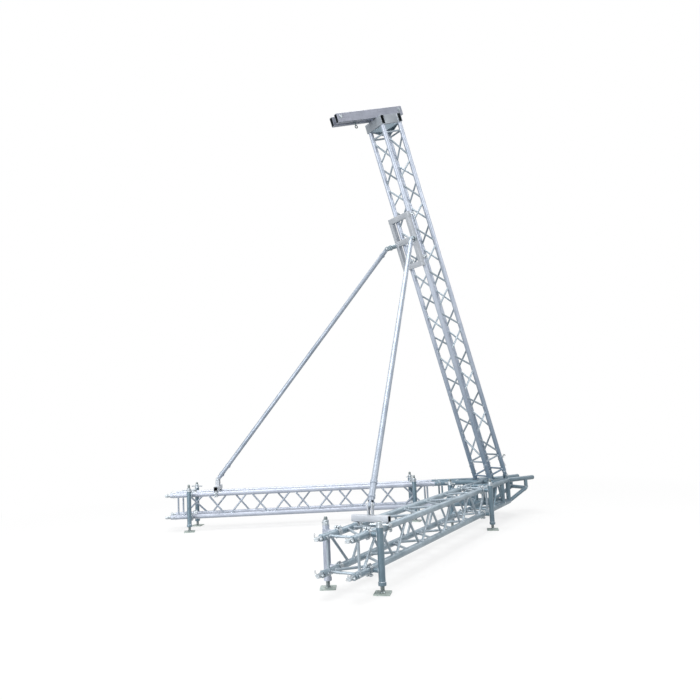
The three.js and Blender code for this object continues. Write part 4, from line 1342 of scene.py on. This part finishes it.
# %% Long beams, their bolts and the hoist block
beam_front, beam_back = 0.642, 0.250
slot_width = 0.046
beam_x = slot_width / 2 + beam_width / 2
bolt_height = long_middle - beam_height / 2 + 0.060
bolt_places = {"front": -half_spacing - beam_front + 0.045, "rear": -half_spacing + beam_back - 0.045}
bolt_head = hex_shape(0.0255, 0.0085)
bolt_radius, bolt_overhang, spacer_radius = 0.008, 0.010, 0.015
washer_thickness, washer_bore, washer_edge = 0.0025, 0.0082, 0.0004
bolt_washer = pipe(washer_thickness, 0.020, washer_bore, washer_edge)
pin_washer = pipe(washer_thickness, 0.015, washer_bore, washer_edge)

for side, sign in signs.items():
    piece = new_piece()
    section = hollow_section(beam_width, beam_front + beam_back, beam_height, shift=sign * 0.35)
    middle_y = -half_spacing + (beam_back - beam_front) / 2
    stamp(piece, section, at(sign * beam_x, middle_y, long_middle))
    name = side + "_header_beam"
    finish_piece(piece, name + "_section", "mast", header_beam, "beam", mast_frame, [name])

for place, y in bolt_places.items():
    piece = new_piece()
    outside = beam_x + beam_width / 2 + running_gap
    end = outside + bolt_overhang
    stamp(piece, rod(2 * end, bolt_radius, lip), facing(x_axis, (-end, y, bolt_height)))
    spacer = pipe(slot_width - 2 * running_gap, spacer_radius, bolt_radius + running_gap, lip)
    stamp(piece, spacer, facing(x_axis, (running_gap - slot_width / 2, y, bolt_height)))
    for way in (-1, 1):
        face = facing(x_axis * way, (way * outside, y, bolt_height))
        stamp(piece, bolt_washer, face)
        stamp(piece, bolt_head, face @ at(0, 0, washer_thickness))
    name = place + "_header_bolt"
    finish_piece(piece, name + "_and_nuts", "mast", zinc_plate, "zinc", mast_frame, [name])


hoist_reach, hoist_length, hoist_height = 0.472, 0.180, 0.076
eye_drop, eye_radius, eye_wire = 0.058, 0.0145, 0.0055
eye_nut_across, eye_nut_height = 0.026, 0.013


def hoist():
    block, bolt = new_piece(), new_piece()
    middle_y = -half_spacing - hoist_reach + hoist_length / 2
    size = (slot_width - 2 * running_gap, hoist_length, hoist_height)
    stamp(block, box_shape(size, beam_edge, 3), at(0, middle_y, long_middle))
    finish_piece(block, "hoist_block_body", "mast", extruded_beam, "beam", mast_frame, ["hoist_block"])
    bottom, top = long_middle - hoist_height / 2, long_middle + hoist_height / 2
    eye_height = bottom - eye_drop
    reach = top - eye_height
    foot, swell, shank = 0.0075, 0.0085, 0.0078
    swell_height, neck_height, start = 0.010, 0.022, 0.012
    neck = [(0, 0), (foot, 0), (swell, swell_height), (shank, neck_height), (shank, reach), (0, reach)]
    stamp(bolt, turned(neck, 24), at(0, middle_y, eye_height + start))
    stamp(bolt, weld_ring(eye_radius, eye_wire, 40, 0), facing(x_axis, (0, middle_y, eye_height)))
    collar_radius, collar_height, chamfer, collar_drop = 0.014, 0.006, 0.002, 0.0075
    collar = [(foot, 0), (collar_radius - 1.5 * lip, 0), (collar_radius, chamfer)]
    collar += [(collar_radius, collar_height), (foot, collar_height)]
    stamp(bolt, turned(collar, 24, closed=True), at(0, middle_y, bottom - collar_drop))
    stamp(bolt, hex_shape(eye_nut_across, eye_nut_height), at(0, middle_y, top + running_gap))
    body, nodes = "hoist_eye", ["hoist_eye_bolt"]
    finish_piece(bolt, "hoist_eye_bolt_forged", body, dark_steel, "steel", mast_frame, nodes)


hoist()

# %% [markdown]
# ## Collar and stays
# The collar is a ladder of square section in front of the mast, held to the front chords by four half
# couplers. Two stubs reach out from it, each with a fork in which a stay's upper end is pinned. The stays
# are plain round tubes with collars where the telescoping parts lock.

# %% Collar sizes
collar_low, collar_bar, collar_high = 2.570, 2.886, 3.180
rail_width, rail_x = 0.050, 0.150
collar_gap, rung_weld, neck_size = 0.004, 0.028, (0.044, 0.016, 0.040)
coupler_heights = (collar_low + 0.088, collar_high - 0.033)
rail_y = -2 * half_spacing - coupler_radius - collar_gap - rail_width / 2
stub_angle, stub_x, stub_drop = math.radians(58), 0.165, 0.012
stub_length, fork_reach, stub_root = 0.096, 0.036, 0.018
stay_radius = 0.024
tongue_reach, tongue_width, tongue_thickness = 0.034, 0.044, 0.016
fork_width, fork_thickness, fork_gap = 0.044, 0.012, 0.001
fork_offset = tongue_thickness / 2 + fork_gap + fork_thickness / 2
fork_outside = fork_offset + fork_thickness / 2
clip_inset, clip_angle = 0.0025, 2.2
bracket_inset, bracket_pin_rise = 0.514, 0.126


def stub_line(side):
    way = Vector((signs[side] * math.cos(stub_angle), -math.sin(stub_angle), 0))
    start = Vector((signs[side] * stub_x, rail_y, collar_bar - stub_drop))
    return start, way


def stay_line(side):
    """Both pins of a stay and the direction of its pins, in the tower's frame."""
    start, way = stub_line(side)
    top = mast_frame @ (start + way * (stub_length + fork_reach))
    distance = base_side_length + running_gap + leg_length - bracket_inset
    pin_height = high + chord_radius + bracket_pin_rise
    foot = outer_line(side, distance, pin_height) - across_leg(side) * half_spacing
    along = foot - top
    return top, foot, Vector((-along.y, along.x, 0)).normalized()


for side in signs:
    top, foot, plane = stay_line(side)
    print(side, "stay", round((top - foot).length, 4), "m")


# %% Fork plates and headed pins
def fork_places(pin, plane, outward):
    """Two places beside a stay: y along the pin, z outward from the plate's root to the pin's end."""
    x = plane.cross(outward).normalized()
    turn = Matrix((x, plane, outward)).transposed().to_4x4()
    return [at(*(pin + plane * offset)) @ turn for offset in (-fork_offset, fork_offset)]


def headed_pin(centre, plane):
    """A pin through a fork, with a domed head, a washer and a spring clip."""
    piece, place = new_piece(), facing(plane, centre)
    radius, reach, seat = bolt_radius, fork_outside + 0.008, fork_outside + lip
    head, dome = radius + 0.004, 0.002
    profile = [(0, -reach), (radius - lip, -reach), (radius, lip - reach), (radius, seat)]
    profile += [(head, seat), (head, reach - dome), (radius + lip, reach), (0, reach)]
    stamp(piece, turned(profile, 24), place)
    stamp(piece, pin_washer, place @ at(0, 0, -fork_outside - washer_thickness - lip / 2))
    stamp(piece, spring_clip, place @ at(0, 0, clip_inset - reach) @ rotation(clip_angle, "Z"))
    return piece


print("fork outside", round(fork_outside, 4))


# %% Collar frame
def collar_frame():
    bars, stubs, beads, clamps = new_piece(), new_piece(), new_piece(), new_piece()
    bar_height, bar_depth = 0.060, 0.046
    rail_height = collar_high - bar_height - collar_low
    rail_wall, rail_rounding = 0.004, 0.005
    rail = hollow_section(rail_width, rail_height, rail_width, rail_wall, rail_rounding, 0.2)
    stand = quarter_x
    for sign in (-1, 1):
        stamp(bars, rail, at(sign * rail_x, rail_y, collar_low + rail_height / 2) @ stand)
    top_reach = rail_x + rail_width / 2 + collar_gap
    top_bar = box_shape((2 * top_reach, bar_depth, bar_height), beam_edge, 2, 0.5)
    stamp(bars, top_bar, at(0, rail_y, collar_high - bar_height / 2))
    rung = box_shape((2 * (rail_x + lip) - rail_width, bar_depth, bar_height), beam_edge, 2, 0.7)
    for z in (collar_bar, collar_low + bar_height / 2):
        stamp(bars, rung, at(0, rail_y, z))
        for sign in (-1, 1):
            x = sign * (rail_x - rail_width / 2)
            for y in (rail_y - bar_depth / 2, rail_y + bar_depth / 2):
                weld_line(beads, *[Vector((x, y, z + end)) for end in (-rung_weld, rung_weld)], small_bead)
    turn, neck = rotation(math.pi / 2, "Y") @ rotation(math.pi, "X"), box_shape(neck_size, beam_edge)
    for z in coupler_heights:
        for x in (-half_spacing, half_spacing):
            stamp(clamps, wing_coupler, at(x, front, z) @ turn)
            stamp(bars, neck, at(x, rail_y + rail_width / 2 + collar_gap, z))
    stay_stubs(stubs, beads)
    ladder = (bars, "ladder", extruded_beam, "beam", "collar_frame")
    # The stub arms take the darker copy of the aluminium as painted shade.
    arms, welds = (stubs, "stub_arms", shaded_stub_aluminium, "beam"), (beads, "welds", weld_metal, "beam")
    finish_parts("collar", "mast", mast_frame, ladder, arms, welds, (clamps, "couplers", zinc_plate, "zinc"))


def stay_stubs(stubs, beads):
    """Each stub arm ends in a disc, with the two plates of a fork on it."""
    into_mast = mast_frame.to_3x3().inverted()
    disc_length, disc_radius, disc_bore, disc_edge = 0.022, 0.031, 0.019, 0.0015
    disc = pipe(disc_length, disc_radius, disc_bore, disc_edge, 32)
    for side in signs:
        start, way = stub_line(side)
        mouth = start + way * stub_length
        plane = into_mast @ stay_line(side)[2]
        outward = (way - plane * way.dot(plane)).normalized()
        plain_tube(stubs, start, mouth, stay_radius)
        lay(stubs, disc, mouth - way * disc_length, mouth)
        for spot in (mouth - way * (disc_length + seam_lift), start + way * stub_root):
            stamp(beads, weld_ring(stay_radius + lip, frame_bead, 30), facing(way, spot))
        fork = round_ended_plate(fork_reach + stub_root, fork_width, fork_thickness)
        for place in fork_places(mouth + way * fork_reach, plane, outward):
            stamp(stubs, fork, place)


collar_frame()


# %% Stays and their pins
stay_bore, stay_edge = 0.020, 0.0012
lock_length, lock_radius, lock_edge = 0.030, 0.0285, 0.0015
low_locks, high_lock = (0.062, 0.186), 0.105


def stay_piece(length):
    """A round tube with a flat tongue let into each end, and rings where its parts lock."""
    piece = new_piece()
    tube = pipe(length - 2 * tongue_reach, stay_radius, stay_bore, stay_edge, 36)
    stamp(piece, tube, at(0, 0, tongue_reach))
    tongue = round_ended_plate(tongue_reach + tongue_width / 2, tongue_width, tongue_thickness)
    quarter = quarter_z
    stamp(piece, tongue, rotation(math.pi, "X") @ quarter)
    stamp(piece, tongue, at(0, 0, length) @ quarter)
    outline = bar_outline(lock_length, lock_radius, lock_edge, stay_radius - lip)
    ring = turned(outline, 36, 0.2, closed=True)
    for height in (*low_locks, length - high_lock):
        stamp(piece, ring, at(0, 0, height))
        stamp(piece, small_screw, facing(y_axis, (0, lock_radius - lip, height + lock_length / 2)))
    return piece


small_screw = hex_shape(0.010, 0.0045, 0.0008)
for side in signs:
    top, foot, plane = stay_line(side)
    along = (top - foot).normalized()
    turn = Matrix((plane, along.cross(plane), along)).transposed().to_4x4()
    place = at(*foot) @ turn
    name, piece = side + "_stay", stay_piece((top - foot).length)
    finish_piece(piece, name + "_tube", name, stay_tube, "tube", place, [name])
    for pin, centre, body in (("top", top, "mast"), ("foot", foot, "base")):
        name = f"{side}_stay_{pin}_pin"
        finish_piece(headed_pin(centre, plane), name + "_with_clip", body, zinc_plate, "zinc", level, [name])


# %% Stay brackets on the legs
def stay_bracket(side):
    place = leg_frame(side)
    into_leg = place.inverted()
    foot, plane = stay_line(side)[1:]
    pin, plane = into_leg @ foot, (into_leg.to_3x3() @ plane).normalized()
    beam_x, beam_size = leg_length - bracket_inset, 0.050
    overhang, fork_bead, fork_weld = 0.032, 0.0028, 0.020
    bottom = half_spacing + coupler_radius
    bars, beads, clamps = new_piece(), new_piece(), new_piece()
    beam = hollow_section(beam_size, 2 * (half_spacing + overhang), beam_size, shift=0.3)
    stamp(bars, beam, at(beam_x, 0, bottom + beam_size / 2))
    drop = pin.z - bottom - beam_size
    fork = round_ended_plate(drop, fork_width, fork_thickness)
    for fork_place in fork_places(pin, plane, up):
        stamp(bars, fork, fork_place)
        foot_line = fork_place @ at(0, 0, -drop)
        for y in (-fork_thickness / 2, fork_thickness / 2):
            weld_line(beads, *[foot_line @ Vector((x, y, 0)) for x in (-fork_weld, fork_weld)], fork_bead)
    for sign in (-1, 1):
        coupler = wing_coupler if sign > 0 else nut_coupler
        stamp(clamps, coupler, at(beam_x, sign * half_spacing, half_spacing) @ quarter_x)
    name = side + "_stay_bracket"
    parts = (bars, "beam", extruded_beam, "beam", name), (beads, "welds", weld_metal, "beam")
    finish_parts(name, "base", place, *parts, (clamps, "couplers", zinc_plate, "zinc"))


for side in signs:
    stay_bracket(side)

# %% [markdown]
# ## Floor, light and the last line
# A pale floor catches a soft shadow and fades to the white of the backdrop. The world is white to the
# camera and to reflections, and large soft lamps light the metal from the left and above, as in the
# photograph.


# %% Floor and backdrop
room_glow, floor_gap, floor_radius = 0.12, 0.0005, 30


def make_world():
    """White to the camera, to reflections and through glass, and dim to everything else."""
    world = bpy.data.worlds.new("studio")
    sky = Finish(world)
    path = sky.nodes.new("ShaderNodeLightPath")
    rays = ("Is Camera Ray", "Is Glossy Ray", "Is Transmission Ray")
    seen, glossy, through = [Wire(sky, path.outputs[ray]) for ray in rays]
    adding = {"operation": "ADD", "use_clamp": True}
    shown = sky.node("ShaderNodeMath", adding, {0: seen + glossy, 1: through})
    strength = sky.node("ShaderNodeMapRange", {}, {"Value": shown, "To Min": room_glow, "To Max": 1.0})
    light = sky.node("ShaderNodeBackground", {}, {"Color": (1, 1, 1, 1), "Strength": strength})
    sky.node("ShaderNodeOutputWorld", {}, {"Surface": light})
    bpy.context.scene.world = world


def make_floor():
    bm = bmesh.new()
    bmesh.ops.create_circle(bm, cap_ends=True, segments=64, radius=floor_radius)
    mesh = bpy.data.meshes.new("floor")
    bm.to_mesh(mesh)
    bm.free()
    pale = Finish(bpy.data.materials.new("pale_floor"))
    place = pale.node("ShaderNodeTexCoord", {}, {}, 3)
    distance = pale.node("ShaderNodeVectorMath", {"operation": "LENGTH"}, {0: place}, 1)
    fade = {"Value": distance, "From Min": 1.5, "From Max": 6.0, "To Min": 0.72, "To Max": 1.0}
    far = pale.node("ShaderNodeMapRange", {}, fade)
    painted = pale.node("ShaderNodeBsdfDiffuse", {}, {"Color": (0.93, 0.93, 0.93, 1)})
    white = pale.node("ShaderNodeEmission", {}, {"Color": (1, 1, 1, 1), "Strength": 1.0})
    shown = pale.node("ShaderNodeMixShader", {}, {0: far, 1: painted, 2: white})
    dull = pale.node("ShaderNodeBsdfDiffuse", {}, {"Color": (0.14, 0.17, 0.18, 1)})
    bounced = pale.node("ShaderNodeLightPath", {}, {}, "Is Diffuse Ray")
    mixed = pale.node("ShaderNodeMixShader", {}, {0: bounced, 1: shown, 2: dull})
    pale.node("ShaderNodeOutputMaterial", {}, {"Surface": mixed})
    mesh.materials.append(pale.holder)
    floor = bpy.data.objects.new("floor", mesh)
    bpy.context.scene.collection.objects.link(floor)
    floor.location.z = -floor_gap
    floor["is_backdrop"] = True


make_world()
make_floor()


# %% Lamps
def soft_lamp(name, place, target, size, power):
    data = bpy.data.lights.new(name, "AREA")
    data.shape = "DISK"
    data.size = size
    data.energy = power
    lamp = bpy.data.objects.new(name, data)
    lamp.location = place
    aim = Vector(target) - Vector(place)
    lamp.rotation_mode = "QUATERNION"
    lamp.rotation_quaternion = aim.to_track_quat("-Z", "Y")
    bpy.context.scene.collection.objects.link(lamp)


soft_lamp("overhead", (-1.0, -1.5, 10.0), (0, -0.5, 1.5), 8.0, 900)
soft_lamp("front", (2.6, -9.7, 2.5), (0, 0, 2.0), 7.0, 750)
soft_lamp("side", (8.0, 2.0, 5.0), (0, 0, 1.5), 3.0, 300)
soft_lamp("back", (-3.0, 8.0, 7.0), (0, 0, 1.5), 5.0, 150)
bpy.context.scene.view_settings.view_transform = "Standard"

# %% The size of what is drawn
visual_box = [list(corner_point) for corner_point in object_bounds()]
print("visual box", [[round(part, 4) for part in point] for point in visual_box])
